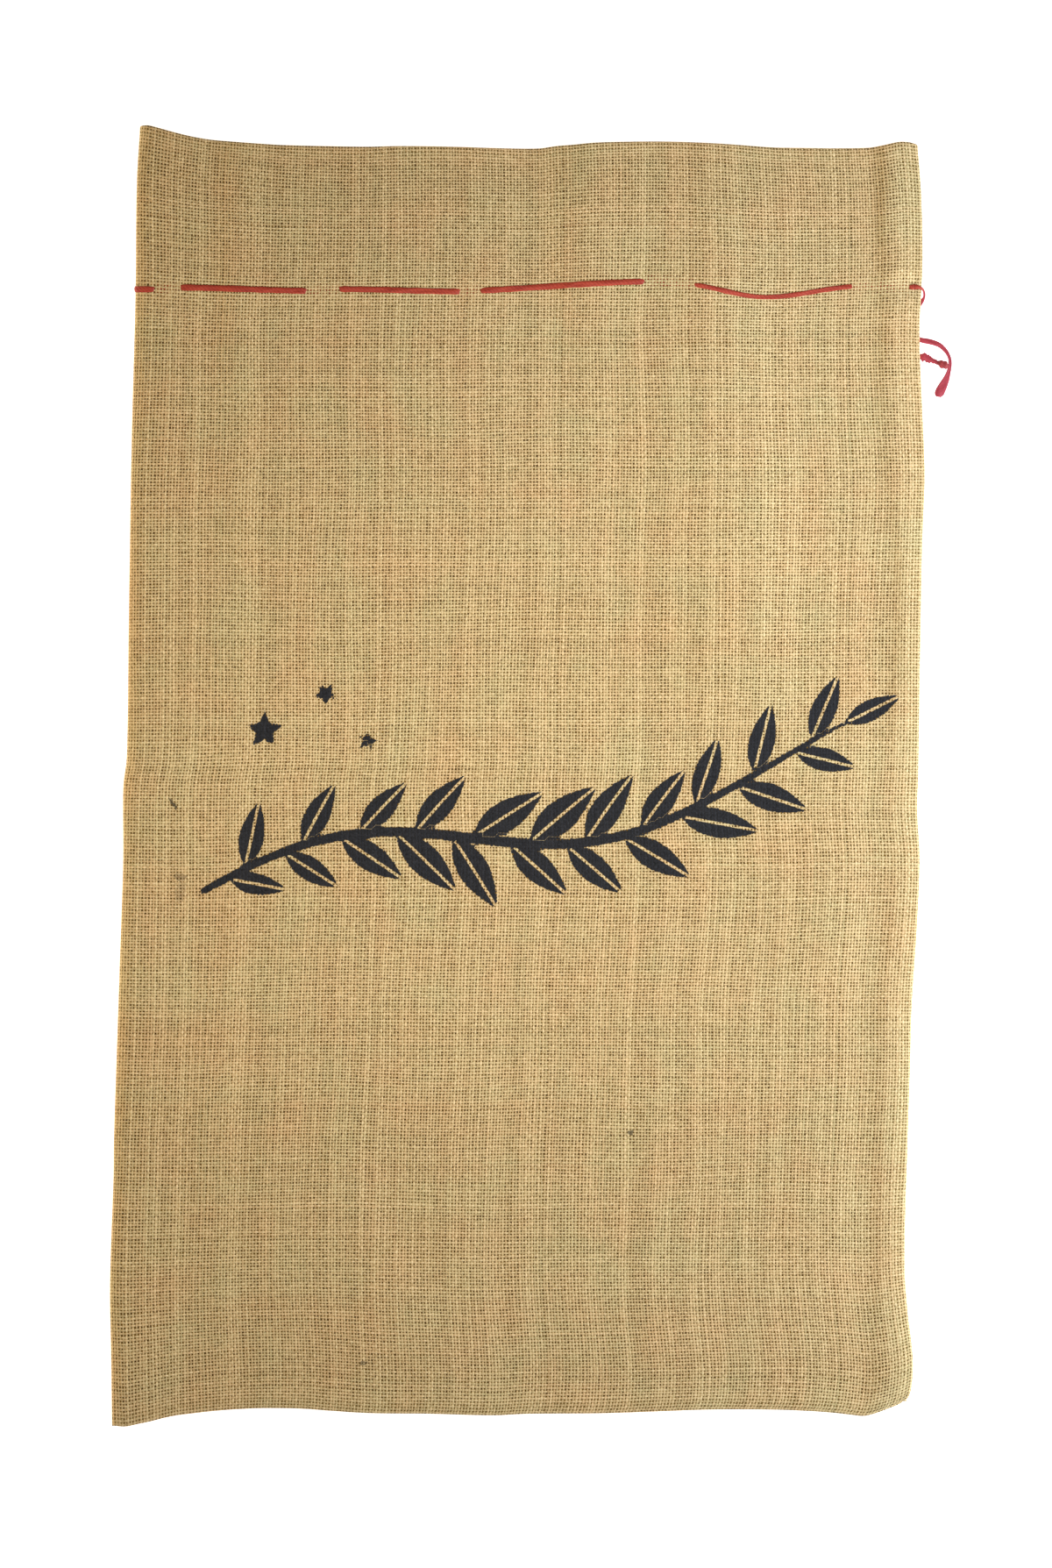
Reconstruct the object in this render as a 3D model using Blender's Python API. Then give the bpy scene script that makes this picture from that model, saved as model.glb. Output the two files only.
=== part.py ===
"""An empty burlap sack lying flat, face up, with a satin ribbon drawstring threaded round its mouth.

Metres, +Z up, +Y from the foot to the mouth. The origin is under the middle of the sack, on the
surface that it lies on. The cloth is one length folded at the left edge (-X), sewn along the right
edge and the foot with its allowances inside, and turned inwards at the mouth as a hem.
"""

import math

import bmesh
import bpy
from mathutils import Vector
from mathutils.bvhtree import BVHTree

MM = 0.001

# Driving dimensions, in millimetres. "Across" is X from the middle of the sack, "along" is Y from it,
# both on the straight 600 x 960 rectangle that the uneven edges below are measured from.
WIDTH = 600.0
LENGTH = 960.0
CLOTH = 1.5
LOFT = 13.4  # upper face of the front ply over the surface, away from the edges
HEM_DEPTH = 13.0
SIDE_SEAM = 14.0  # depth of the sewn allowances at the right edge
FOOT_SEAM = 12.0
FOLD_EDGE_HEIGHT = 6.0  # height of the sack at its folded left edge
SEAM_EDGE_HEIGHT = 4.8  # thickness of the right edge, allowances and all
FOOT_EDGE_HEIGHT = 5.0
LEFT_RISE = 90.0  # how far in from each edge the front ply goes on rising
RIGHT_RISE = 80.0
FOOT_RISE = 120.0
CORNER_FALL = 3.0  # how much lower the front ply lies over the lower left corner
CORNER_REACH = 230.0
HEM_STEP = 1.2  # length of each step in the cloth's thickness at the mouth and at the hem's inner edge
# How far in from the folded edge, and from the sewn one, the mouth's lip, the hem's face and the plain
# inside face begin.
LIP_INSET = (6.5, 9.0)
HEM_INSET = (12.0, SIDE_SEAM + 2.0)
INNER_INSET = (4.5, SIDE_SEAM)
INNER_BULGE = 0.2  # how round the inside of each edge is, as a share of the outside
FOLD_START = 1.6  # how soon the folds reach their full height, in from the edges

RIBBON_WIDTH = 4.2  # a 6 mm ribbon drawn narrow by the cloth
RIBBON_THICKNESS = 0.6
GAP = 0.3  # clearance between ribbon and cloth
CHANNEL_LIFT = 1.3  # room under the back ply for the ribbon's outside runs
CHANNEL_HALF_WIDTH = 7.0
CHANNEL_FADE = 9.0
SLOT_LENGTH = 3.0  # each pass of the ribbon between the yarns
SLOT_WIDTH = 5.2
SLOT_PAST = 1.2  # how far each slot's box runs past the ply's faces
RUN_STEP = 7.0  # distance between the points of a run of the ribbon
RUN_INSET = 1.7  # how far from its passes a run begins and ends
PASS_REACH = 0.7  # half the length of the ribbon's turn through a ply
SEAM_LIFT_REACH = 30.0
TUNNEL_MIDDLE = 4.6  # the ribbon's way between the layers of the side seam, over the surface
TUNNEL_HALF_HEIGHT = 0.8
TABLE_GAP = 0.1  # the ribbon's lower face over the surface

# How far each edge runs outside the straight rectangle (negative: inside it).
# (along, outwards to -X)
LEFT_EDGE = [
    (-480, 6.5), (-430, 7.2), (-383, 8.3), (-276, 5.6), (-143, 1.0), (-63, -1.7), (-8, -1.9),
    (14, -4.6), (120, -5.7), (255, -7.7), (360, -11.0), (440, -11.8), (480, -15.0),
]
# (along, outwards to +X)
RIGHT_EDGE = [
    (-480, -13.0), (-472, -5.0), (-460, -0.9), (-440, -0.4), (-410, -4.2), (-370, -6.4), (-276, -4.3),
    (-175, -1.2), (-117, 2.3), (-64, 4.4), (-26, 2.6), (0, 3.4), (96, 3.7), (176, 6.3), (229, 8.3),
    (282, 7.0), (335, 5.2), (390, 7.6), (440, 6.2), (480, 2.6),
]
# (across, outwards to +Y)
MOUTH_EDGE = [
    (-300, 13.9), (-272, 11.6), (-245, 5.6), (-222, 1.9), (-170, -1.4), (-60, -2.6), (-10, -4.0),
    (45, 0.0), (110, 1.3), (155, -0.7), (234, -3.4), (276, -0.8), (293, -0.4), (300, -3.0),
]
# (across, outwards to -Y)
FOOT_EDGE = [
    (-300, 11.0), (-289, 13.9), (-268, 7.4), (-245, 3.3), (-205, -0.7), (-165, 0.0), (-85, 4.0),
    (-20, 4.7), (75, 3.3), (165, 0.8), (235, 2.0), (262, 4.6), (280, 2.0), (292, -3.0), (300, -8.0),
]
# How high the underside of the right edge lies over the surface. (along, height)
RIGHT_EDGE_LIFT = [(-480, 0.9), (250, 0.9), (305, 2.2), (385, 2.2), (430, 1.0), (480, 0.8)]

# The folds of the front ply, each a soft ridge (or a trough, where its height is negative) along a
# line of points: (across, along, height, reach to +X or the mouth, reach to -X or the foot).
FOLDS = {
    "long ridge down the right half": [
        (146, 500, 1.6, 45, 60), (150, 400, 2.2, 50, 60), (164, 320, 3.0, 52, 70),
        (172, 200, 3.2, 52, 70), (172, 90, 2.6, 60, 70), (176, 10, 0.8, 60, 70),
    ],
    "fold at the middle of the mouth": [
        (56, 500, 2.4, 60, 36), (54, 430, 2.2, 60, 36), (50, 372, 1.4, 60, 36), (44, 310, 0.0, 60, 36),
    ],
    "shallow fold at the left of the mouth": [
        (-226, 500, 1.0, 60, 20), (-226, 330, 1.2, 60, 20), (-224, 250, 0.0, 60, 20),
    ],
    "groove beside the side seam, mouth": [(271, 500, -1.5, 13, 16), (272, 400, -1.3, 13, 16)],
    "groove beside the side seam, middle": [
        (274, 380, -0.9, 12, 16), (289, 230, -1.5, 11, 16), (287, 120, -1.5, 11, 16),
        (286, 0, -1.0, 11, 16), (287, -150, -1.0, 11, 16),
    ],
    "groove beside the side seam, foot": [
        (283, -170, -1.0, 12, 16), (274, -260, -1.5, 12, 16), (270, -380, -1.5, 12, 16),
        (271, -440, -2.4, 14, 34),
    ],
    "crease where the sack was folded across": [
        (-300, 9, -0.7, 8, 8), (-60, 8, -0.9, 8, 8), (200, -2, -0.9, 8, 8), (300, -14, -1.4, 8, 8),
    ],
    "slanting crease above the middle": [
        (32, 235, 0.0, 18, 18), (66, 160, -1.0, 18, 18), (104, 90, 0.0, 18, 18),
    ],
    "slanting crease below the middle": [
        (-76, -290, 0.0, 18, 18), (-50, -340, -1.0, 18, 18), (-28, -378, 0.0, 18, 18),
    ],
    "swell below the middle": [(60, -90, 0.6, 90, 90), (120, -220, 1.2, 100, 100), (90, -380, 0.6, 90, 90)],
    "swell over the right of the middle": [
        (228, -40, 0.8, 34, 60), (236, -110, 1.2, 34, 60), (232, -190, 0.0, 34, 60),
    ],
}

# The drawstring's line on the front ply, as it lies in plan. (x, y)
FRONT_LINE = [
    (-290, 369.5), (-274, 369.5), (-254, 370.8), (-159, 368.2), (-134, 369.5), (-42, 367.6), (-27, 368.3),
    (97, 375.3), (135, 372.8), (188, 363.6), (255, 372.0), (300, 371.4),
]
# The x of each pass of the ribbon through the front ply, left to right. Between a pair it lies inside.
FRONT_PASSES = [-273.7, -254.4, -158.7, -134.0, -42.2, -26.9, 97.4, 135.4, 255.1, 299.0]
# The same through the back ply, right to left; its line there is straight.
BACK_LINE = 369.5
BACK_PASSES = [276.0, 246.0, 118.0, 84.0, -46.0, -80.0, -206.0, -238.0]

# The long strand's route round the right edge, from the last pass through the front ply to where it
# comes out from under the edge: (x, y, height, then the direction of its width).
OVER_THE_EDGE = [
    (302.2, 371.6, 8.5, 0.0, 1.0, 0.0),
    (305.6, 371.3, 8.1, 0.1, 1.0, -0.1),
    (308.4, 369.9, 6.9, 0.4, 0.8, -0.5),
    (309.3, 366.8, 5.3, 0.35, 0.35, -1.0),
    (309.0, 362.8, 3.8, -0.2, 0.25, -1.0),
    (307.6, 358.6, 2.3, -0.8, 0.2, -0.7),
    (305.6, 354.2, 1.2, -1.0, 0.1, -0.35),
    (303.6, 349.2, 0.6, -1.0, 0.1, 0.0),
    (302.6, 343.0, 0.5, -1.0, 0.0, 0.0),
    (302.5, 337.6, 0.5, -1.0, -0.15, 0.0),
    (303.4, 333.4, 0.5, -0.7, -0.7, 0.0),
    (305.6, 331.1, 0.5, -0.25, -1.0, 0.0),
    (308.0, 330.1, 0.5, -0.1, -1.0, 0.0),
]
# The short strand's route under the edge, from beside its first pass through the back ply. Same columns.
UNDER_THE_EDGE = [
    (281.0, 369.5, 0.5, 0.0, 1.0, 0.0),
    (287.0, 369.4, 0.5, 0.1, 1.0, 0.0),
    (291.6, 368.0, 0.5, 0.4, 1.0, 0.0),
    (295.0, 364.4, 0.5, 0.8, 0.6, 0.0),
    (296.6, 359.0, 0.5, 1.0, 0.15, 0.0),
    (297.0, 352.0, 0.5, 1.0, 0.0, 0.0),
    (297.0, 342.0, 0.5, 1.0, 0.0, 0.0),
    (297.0, 333.0, 0.5, 1.0, 0.0, 0.0),
    (297.4, 327.0, 0.5, 1.0, 0.3, 0.0),
    (299.6, 322.4, 0.5, 0.8, 0.8, 0.0),
    (303.4, 319.6, 0.5, 0.5, 1.0, 0.0),
    (306.6, 318.4, 0.5, 0.35, 1.0, 0.0),
]
# How each strand goes on beside the sack: (x, y, height of the middle, width there).
LONG_END = [
    (312.0, 329.2, 0.4, 4.2), (317.0, 327.9, 0.6, 4.0), (321.6, 326.2, 0.9, 3.8), (325.4, 323.2, 1.1, 3.4),
    (328.2, 319.6, 1.2, 2.8), (329.9, 315.6, 1.0, 2.7), (330.1, 311.4, 0.8, 3.0), (329.2, 306.6, 0.6, 3.6),
    (327.4, 301.2, 0.4, 4.8), (325.2, 296.4, 0.4, 5.8), (323.0, 291.8, 0.4, 6.2), (321.6, 288.9, 0.4, 5.0),
    (321.2, 287.4, 0.4, 2.6),
]
SHORT_END = [
    (309.6, 317.4, 0.8, 5.0), (312.8, 316.1, 1.3, 4.2), (316.0, 314.8, 1.8, 3.4), (319.2, 313.9, 2.3, 3.2),
]
HELD_START = (280.6, 369.5, 0.5)  # where the held ribbon meets the short strand
HELD_END = (301.5, 371.6, 8.5)  # where it meets the long one
KNOT_CENTRE = (323.3, 312.6, 2.5)
KNOT_RADII = (3.9, 2.9, 2.3)
KNOT_TURN = math.radians(-20)

# Where the cloth's grid lines fall on each face, closer where the shape turns.
GRID_ACROSS = [
    -290, -274, -250, -228, -195, -150, -105, -60, -20, 12, 34, 54, 84, 118, 148, 168, 190, 218, 244, 260,
    272, 286,
]
GRID_ALONG = [
    -462, -436, -400, -355, -310, -265, -220, -170, -120, -75, -38, -14, 0, 14, 38, 80, 125, 170, 215, 260,
    300, 330, 348, 362, 377, 391, 410, 435,
]
COLUMNS = len(GRID_ACROSS) + 2
COLUMN_SPACE = 2.0  # the least distance from a column to the one at the edge
ROUND_STEPS = 3  # points round each edge
END_SWAY = 220.0  # how far the unevenness of the mouth and the foot carries into the cloth


def smooth(share):
    share = min(max(share, 0.0), 1.0)
    return share * share * (3 - 2 * share)


def along_table(rows, place):
    """A smooth curve through (place, value) rows, held level past its ends."""
    if place <= rows[0][0]:
        return rows[0][1]
    if place >= rows[-1][0]:
        return rows[-1][1]
    right = next(i for i, row in enumerate(rows) if row[0] >= place)
    left = right - 1

    def slope(i):
        low, high = max(i - 1, 0), min(i + 1, len(rows) - 1)
        return (rows[high][1] - rows[low][1]) / (rows[high][0] - rows[low][0])

    span = rows[right][0] - rows[left][0]
    t = (place - rows[left][0]) / span
    return (
        rows[left][1] * (1 + 2 * t) * (1 - t) ** 2
        + rows[right][1] * t * t * (3 - 2 * t)
        + slope(left) * span * t * (1 - t) ** 2
        - slope(right) * span * t * t * (1 - t)
    )


def in_plan(across, along):
    """The plan position of a point of the straight rectangle, in millimetres."""
    u = across / WIDTH + 0.5
    x = across - along_table(LEFT_EDGE, along) * (1 - u) + along_table(RIGHT_EDGE, along) * u
    near_mouth = max(0.0, (along - LENGTH / 2) / END_SWAY + 1) ** 2
    near_foot = max(0.0, (-along - LENGTH / 2) / END_SWAY + 1) ** 2
    y = along - along_table(FOOT_EDGE, across) * near_foot + along_table(MOUTH_EDGE, across) * near_mouth
    return x, y


def rise(distance, reach):
    return math.sin(math.pi / 2 * min(max(distance / reach, 0.0), 1.0))


def fold_height(points, across, along):
    """The height that one fold adds at a point: a cosine ridge beside the nearest stretch of its line."""
    best = None
    for start, end in zip(points, points[1:]):
        run = Vector((end[0] - start[0], end[1] - start[1]))
        away = Vector((across - start[0], along - start[1]))
        t = min(max(away.dot(run) / run.length_squared, 0.0), 1.0)
        off = away - run * t
        if best is None or off.length < best[0]:
            normal = Vector((run.y, -run.x))
            if normal.x + 0.3 * normal.y < 0:
                normal = -normal
            ahead = smooth(0.5 + 0.5 * off.dot(normal) / (normal.length * max(off.length, 1e-6)))
            height, reach_ahead, reach_behind = (start[i] + (end[i] - start[i]) * t for i in (2, 3, 4))
            reach = reach_behind + (reach_ahead - reach_behind) * ahead
            best = (off.length, height, reach)
    distance, height, reach = best
    return height * 0.5 * (1 + math.cos(math.pi * min(distance / reach, 1.0)))


def front_height(across, along):
    """The upper face of the front ply over the surface, in millimetres."""
    left = rise(across + WIDTH / 2, LEFT_RISE)
    right = rise(WIDTH / 2 - across, RIGHT_RISE)
    foot = rise(along + LENGTH / 2, FOOT_RISE)
    right_base = SEAM_EDGE_HEIGHT + along_table(RIGHT_EDGE_LIFT, along)
    u = across / WIDTH + 0.5
    edge = FOLD_EDGE_HEIGHT + (right_base - FOLD_EDGE_HEIGHT) * smooth(u)
    edge += (FOOT_EDGE_HEIGHT - edge) * (1 - foot)
    height = edge + (LOFT - edge) * left * right * foot
    to_corner = math.hypot(across + WIDTH / 2, along + LENGTH / 2)
    height -= CORNER_FALL * (1 - smooth(to_corner / CORNER_REACH)) * left * foot
    for points in FOLDS.values():
        height += fold_height(points, across, along) * min(1.0, FOLD_START * left * right * foot)
    return height


def channel(y):
    """How much of the ribbon's room under the back ply a point has, from 0 to 1."""
    return 1 - smooth((abs(y - BACK_LINE) - CHANNEL_HALF_WIDTH) / CHANNEL_FADE)


def back_height(across, along):
    """The lower face of the back ply over the surface, in millimetres."""
    inward = WIDTH / 2 - across
    lift = along_table(RIGHT_EDGE_LIFT, along) * (1 - smooth(inward / SEAM_LIFT_REACH))
    return max(lift, CHANNEL_LIFT * channel(in_plan(across, along)[1]))


def girth(along, left_end, right_end, skin, pull_in=0.0, flatten=1.0):
    """One ring round the sack at a distance along it: the front face from left to right, the right
    edge, the back face from right to left, and the left edge. skin is how far inside the cloth's
    outer face the ring runs; pull_in moves it towards +Y; flatten draws its height in."""
    kept = [a for a in GRID_ACROSS if left_end + COLUMN_SPACE < a < right_end - COLUMN_SPACE]
    columns = [left_end] * (GRID_ACROSS.index(kept[0]) + 1) + kept
    columns += [right_end] * (COLUMNS - len(columns))
    front, back = [], []
    for across in spread(columns):
        x, y = in_plan(across, along)
        front.append(Vector((x, y + pull_in, front_height(across, along) - skin)))
        back.append(Vector((x, y + pull_in, back_height(across, along) + skin)))
    right_edge = edge_round(front[-1], back[-1], 1, skin)
    left_edge = edge_round(back[0], front[0], -1, skin)
    ring = front + right_edge + back[::-1] + left_edge
    middle = 0.5 * (FOOT_EDGE_HEIGHT if flatten < 1 else 0.0)
    for point in ring:
        point.z = middle + (point.z - middle) * flatten
    return ring


def spread(columns):
    """The columns with any that coincide at an end set evenly apart, so that no two are the same."""
    first = columns.count(columns[0])
    last = columns.count(columns[-1])
    out = list(columns)
    for i in range(first):
        out[i] = columns[0] + (columns[first] - columns[0]) * i / first
    for i in range(last):
        out[-1 - i] = columns[-1] + (columns[-1 - last] - columns[-1]) * i / last
    return out


def edge_round(start, end, side, skin):
    """Points from one face to the other round an edge: a half circle outside, nearly flat inside."""
    bulge = 0.5 * abs(start.z - end.z) * (1.0 if skin == 0 else INNER_BULGE)
    out = []
    for step in range(1, ROUND_STEPS + 1):
        angle = math.pi * step / (ROUND_STEPS + 1)
        point = start.lerp(end, 0.5 * (1 - math.cos(angle)))
        out.append(point + Vector((side * bulge * math.sin(angle), 0, 0)))
    return out


def sack_rings():
    """The rings of the whole cloth: up its outside, over the mouth and down its inside."""
    half_left, half_right = 0.5 * FOLD_EDGE_HEIGHT, 0.5 * SEAM_EDGE_HEIGHT
    outer = {"left_end": -WIDTH / 2 + half_left, "right_end": WIDTH / 2 - half_right, "skin": 0.0}
    foot, mouth = -LENGTH / 2, LENGTH / 2
    foot_radius = 0.5 * FOOT_EDGE_HEIGHT
    rings = []
    for degrees in (60, 30):
        angle = math.radians(degrees)
        pull = foot_radius * (1 - math.sin(angle))
        rings.append(girth(foot, **outer, pull_in=pull, flatten=math.cos(angle)))
    for along in [foot + foot_radius, *GRID_ALONG, mouth - HEM_DEPTH, mouth - HEM_STEP]:
        rings.append(girth(along, **outer))
    rings.append(girth(mouth, **inset_ends(LIP_INSET), skin=CLOTH))
    for along in (mouth - HEM_STEP, mouth - HEM_DEPTH):
        rings.append(girth(along, **inset_ends(HEM_INSET), skin=2 * CLOTH))
    for along in [mouth - HEM_DEPTH - HEM_STEP, *GRID_ALONG[::-1], foot + FOOT_SEAM]:
        rings.append(girth(along, **inset_ends(INNER_INSET), skin=CLOTH))
    return rings


def inset_ends(inset):
    """Where a ring's faces end, from how far in they begin at the folded edge and at the sewn one."""
    return {"left_end": -WIDTH / 2 + inset[0], "right_end": WIDTH / 2 - inset[1]}


def close_end(bm, ring, flip):
    """Closes a ring's flat end with a strip between its front and its back."""
    back = ring[COLUMNS + ROUND_STEPS : 2 * COLUMNS + ROUND_STEPS][::-1]
    faces = [[ring[i], ring[i + 1], back[i + 1], back[i]] for i in range(COLUMNS - 1)]
    faces.append([ring[COLUMNS - 1], *ring[COLUMNS : COLUMNS + ROUND_STEPS], back[COLUMNS - 1]])
    faces.append([back[0], *ring[2 * COLUMNS + ROUND_STEPS :], ring[0]])
    for face in faces:
        bm.faces.new(face[::-1] if flip else face)


def cloth_bmesh():
    bm = bmesh.new()
    rings = [[bm.verts.new(point * MM) for point in ring] for ring in sack_rings()]
    for lower, upper in zip(rings, rings[1:]):
        for i in range(len(lower)):
            j = (i + 1) % len(lower)
            bm.faces.new((lower[i], lower[j], upper[j], upper[i]))
    close_end(bm, rings[0], True)
    close_end(bm, rings[-1], False)
    bmesh.ops.triangulate(bm, faces=bm.faces[:])
    if bm.calc_volume(signed=True) < 0:
        bmesh.ops.reverse_faces(bm, faces=bm.faces[:])
    return bm


def new_material(name, colour, roughness):
    material = bpy.data.materials.new(name)
    material.use_nodes = True
    shader = material.node_tree.nodes["Principled BSDF"]
    shader.inputs["Base Color"].default_value = (*colour, 1.0)
    shader.inputs["Roughness"].default_value = roughness
    shader.inputs["Metallic"].default_value = 0.0
    return material


def new_object(name, bm, material):
    mesh = bpy.data.meshes.new(name)
    bm.to_mesh(mesh)
    bm.free()
    mesh.shade_smooth()
    mesh.set_sharp_from_angle(angle=math.radians(40))
    item = bpy.data.objects.new(name, mesh)
    bpy.context.collection.objects.link(item)
    if material:
        mesh.materials.append(material)
    return item


def box_into(bm, low, high):
    """Adds one closed box between two corners, in millimetres."""
    corners = [
        bm.verts.new(Vector((x, y, z)) * MM)
        for x in (low[0], high[0])
        for y in (low[1], high[1])
        for z in (low[2], high[2])
    ]
    for face in ((0, 1, 3, 2), (4, 6, 7, 5), (0, 4, 5, 1), (2, 3, 7, 6), (0, 2, 6, 4), (1, 5, 7, 3)):
        bm.faces.new([corners[i] for i in face])


def cutter(name, boxes):
    bm = bmesh.new()
    for low, high in boxes:
        box_into(bm, low, high)
    bmesh.ops.recalc_face_normals(bm, faces=bm.faces[:])
    item = new_object(name, bm, None)
    item.hide_render = True
    item.display_type = "WIRE"
    return item


class Faces:
    """Heights of the finished cloth's own faces, in millimetres, found by rays."""

    def __init__(self, bm):
        self.tree = BVHTree.FromBMesh(bm)

    def hits(self, x, y):
        """The heights at which a ray straight down meets the cloth, highest first."""
        heights, start = [], 0.1
        while True:
            spot = self.tree.ray_cast(Vector((x * MM, y * MM, start)), Vector((0, 0, -1)))[0]
            if spot is None:
                return heights
            heights.append(spot.z / MM)
            start = spot.z - 1e-5

    def across_ribbon(self, x, y, layer, pick):
        """The highest or lowest height of one layer under the ribbon's width."""
        offsets = (-0.5 * RIBBON_WIDTH, 0.0, 0.5 * RIBBON_WIDTH)
        return pick(self.hits(x, y + off)[layer] for off in offsets)


def ribbon_height(faces, side, x, y):
    """The height of the ribbon's middle where it lies on one side of a ply: side names the ply and
    whether the ribbon is on its outside or its inside."""
    stand_off = GAP + 0.5 * RIBBON_THICKNESS
    if side == "front outside":
        return faces.across_ribbon(x, y, 0, max) + stand_off
    if side == "front inside":
        return faces.across_ribbon(x, y, 1, min) - stand_off
    if side == "back inside":
        return faces.across_ribbon(x, y, -2, max) + stand_off
    return TABLE_GAP + 0.5 * RIBBON_THICKNESS


def run_points(faces, side, start, end, line):
    """The ribbon along one run between two passes, every few millimetres, ends short of the passes."""
    direction = 1 if end > start else -1
    low, high = start + direction * RUN_INSET, end - direction * RUN_INSET
    count = max(2, round(abs(high - low) / RUN_STEP) + 1)
    for i in range(count):
        x = low + (high - low) * i / (count - 1)
        y = line(x)
        yield Vector((x, y, ribbon_height(faces, side, x, y)))


def pass_points(before, after, x):
    """The ribbon's turn through a ply at x, between the last point of one run and the first of the next."""
    y = 0.5 * (before.y + after.y)
    near = PASS_REACH if after.x > before.x else -PASS_REACH
    drop = (after.z - before.z) / abs(after.z - before.z)
    return [
        Vector((x - near, y, before.z + 0.12 * drop)),
        Vector((x - 0.25 * near, y, before.z + 0.55 * drop)),
        Vector((x + 0.25 * near, y, after.z - 0.55 * drop)),
        Vector((x + near, y, after.z - 0.12 * drop)),
    ]


def front_line(x):
    return along_table(FRONT_LINE, x)


def back_line(x):
    return BACK_LINE


def held_route(faces):
    """The route of the ribbon that the cloth holds, from strand to strand, as a list of points."""
    fold_x = in_plan(-WIDTH / 2 + 0.5 * FOLD_EDGE_HEIGHT, BACK_LINE)[0]
    stops = [*BACK_PASSES, fold_x]
    runs = []
    for i, (start, end) in enumerate(zip(stops, stops[1:])):
        side = "back outside" if i % 2 else "back inside"
        runs.append((start, list(run_points(faces, side, start, end, back_line))))
    runs[-1][1].extend(round_the_fold())
    stops = [fold_x, *FRONT_PASSES[:-1]]
    for i, (start, end) in enumerate(zip(stops, stops[1:])):
        side = "front inside" if i % 2 else "front outside"
        runs.append((start if i else None, list(run_points(faces, side, start, end, front_line))))
    runs.append((FRONT_PASSES[-2], list(seam_run(faces))))

    route = [Vector(HELD_START)]
    for place, points in runs:
        if place is not None:
            route += pass_points(route[-1], points[0], place)
        route += points
    return [*route, *pass_points(route[-1], Vector(HELD_END), FRONT_PASSES[-1]), Vector(HELD_END)]


def round_the_fold():
    """The ribbon round the folded left edge, from under the sack to over it."""
    radius = 0.5 * FOLD_EDGE_HEIGHT
    x = in_plan(-WIDTH / 2 + radius, BACK_LINE)[0]
    low = back_height(-WIDTH / 2, BACK_LINE)
    middle = 0.5 * (low + front_height(-WIDTH / 2 + radius, BACK_LINE))
    reach = middle - low + 2 * GAP + 0.5 * RIBBON_THICKNESS
    for degrees in (250, 225, 200, 180, 160, 135, 110):
        angle = math.radians(degrees)
        yield Vector((x + reach * math.cos(angle), BACK_LINE, middle + reach * math.sin(angle)))


def seam_run(faces):
    """The run inside the front ply that goes on between the layers of the side seam."""
    seam_face = in_plan(WIDTH / 2 - SIDE_SEAM, BACK_LINE)[0]
    yield from run_points(faces, "front inside", FRONT_PASSES[-2], seam_face - 2.5, front_line)
    last = FRONT_PASSES[-1]
    for x in (seam_face - 1.2, last - 3.4, last - 1.8):
        yield Vector((x, front_line(last), TUNNEL_MIDDLE))


def ribbon_bmesh(route, widths):
    """A flat strip along a route of (point, width direction), in millimetres."""
    bm = bmesh.new()
    rings = []
    for i, (point, across) in enumerate(route):
        before = route[max(i - 1, 0)][0]
        after = route[min(i + 1, len(route) - 1)][0]
        tangent = (after - before).normalized()
        across = (across - tangent * across.dot(tangent)).normalized()
        out = across.cross(tangent) * 0.5 * RIBBON_THICKNESS
        half = across * 0.5 * widths[i]
        corners = (point - half - out, point + half - out, point + half + out, point - half + out)
        rings.append([bm.verts.new(corner * MM) for corner in corners])
    for first, second in zip(rings, rings[1:]):
        for i in range(4):
            j = (i + 1) % 4
            bm.faces.new((first[i], first[j], second[j], second[i]))
    bm.faces.new(rings[0][::-1])
    bm.faces.new(rings[-1])
    bmesh.ops.triangulate(bm, faces=bm.faces[:])
    if bm.calc_volume(signed=True) < 0:
        bmesh.ops.reverse_faces(bm, faces=bm.faces[:])
    return bm


def strand_bmesh(guided_rows, free_rows, side):
    """A strand of the tie: the stretch whose width is turned as its rows say, then the one that lies
    face up beside the sack. side is 1 where the width of the second points to its left, or -1."""
    route = [(Vector(row[:3]), Vector(row[3:]).normalized()) for row in guided_rows]
    points = [route[-1][0], *(Vector(row[:3]) for row in free_rows)]
    for i in range(1, len(points)):
        tangent = points[min(i + 1, len(points) - 1)] - points[i - 1]
        route.append((points[i], Vector((-tangent.y, tangent.x, 0)).normalized() * side))
    return ribbon_bmesh(route, [RIBBON_WIDTH] * len(guided_rows) + [row[3] for row in free_rows])


def knot_bmesh():
    bm = bmesh.new()
    bmesh.ops.create_uvsphere(bm, u_segments=14, v_segments=8, radius=1.0)
    for vert in bm.verts:
        local = Vector(vert.co[i] * KNOT_RADII[i] for i in range(3))
        waist = 1 - 0.16 * math.cos(2 * math.pi * local.x / KNOT_RADII[0]) ** 2 * abs(vert.co.z)
        local.y *= waist
        x = local.x * math.cos(KNOT_TURN) - local.y * math.sin(KNOT_TURN)
        y = local.x * math.sin(KNOT_TURN) + local.y * math.cos(KNOT_TURN)
        vert.co = (Vector(KNOT_CENTRE) + Vector((x, y, local.z))) * MM
    bmesh.ops.triangulate(bm, faces=bm.faces[:])
    return bm


def slot_box(x, y, low, high):
    half, wide = 0.5 * SLOT_LENGTH, 0.5 * SLOT_WIDTH
    return ((x - half, y - wide, low), (x + half, y + wide, high))


def slot_boxes(faces):
    """One box for each pass of the ribbon through a ply."""
    boxes = []
    for x in FRONT_PASSES[:-1]:
        top, under = faces.hits(x, front_line(x))[:2]
        boxes.append(slot_box(x, front_line(x), under - SLOT_PAST, top + SLOT_PAST))
    for x in BACK_PASSES:
        top, under = faces.hits(x, BACK_LINE)[-2:]
        boxes.append(slot_box(x, BACK_LINE, under - SLOT_PAST, top + SLOT_PAST))
    return boxes


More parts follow.
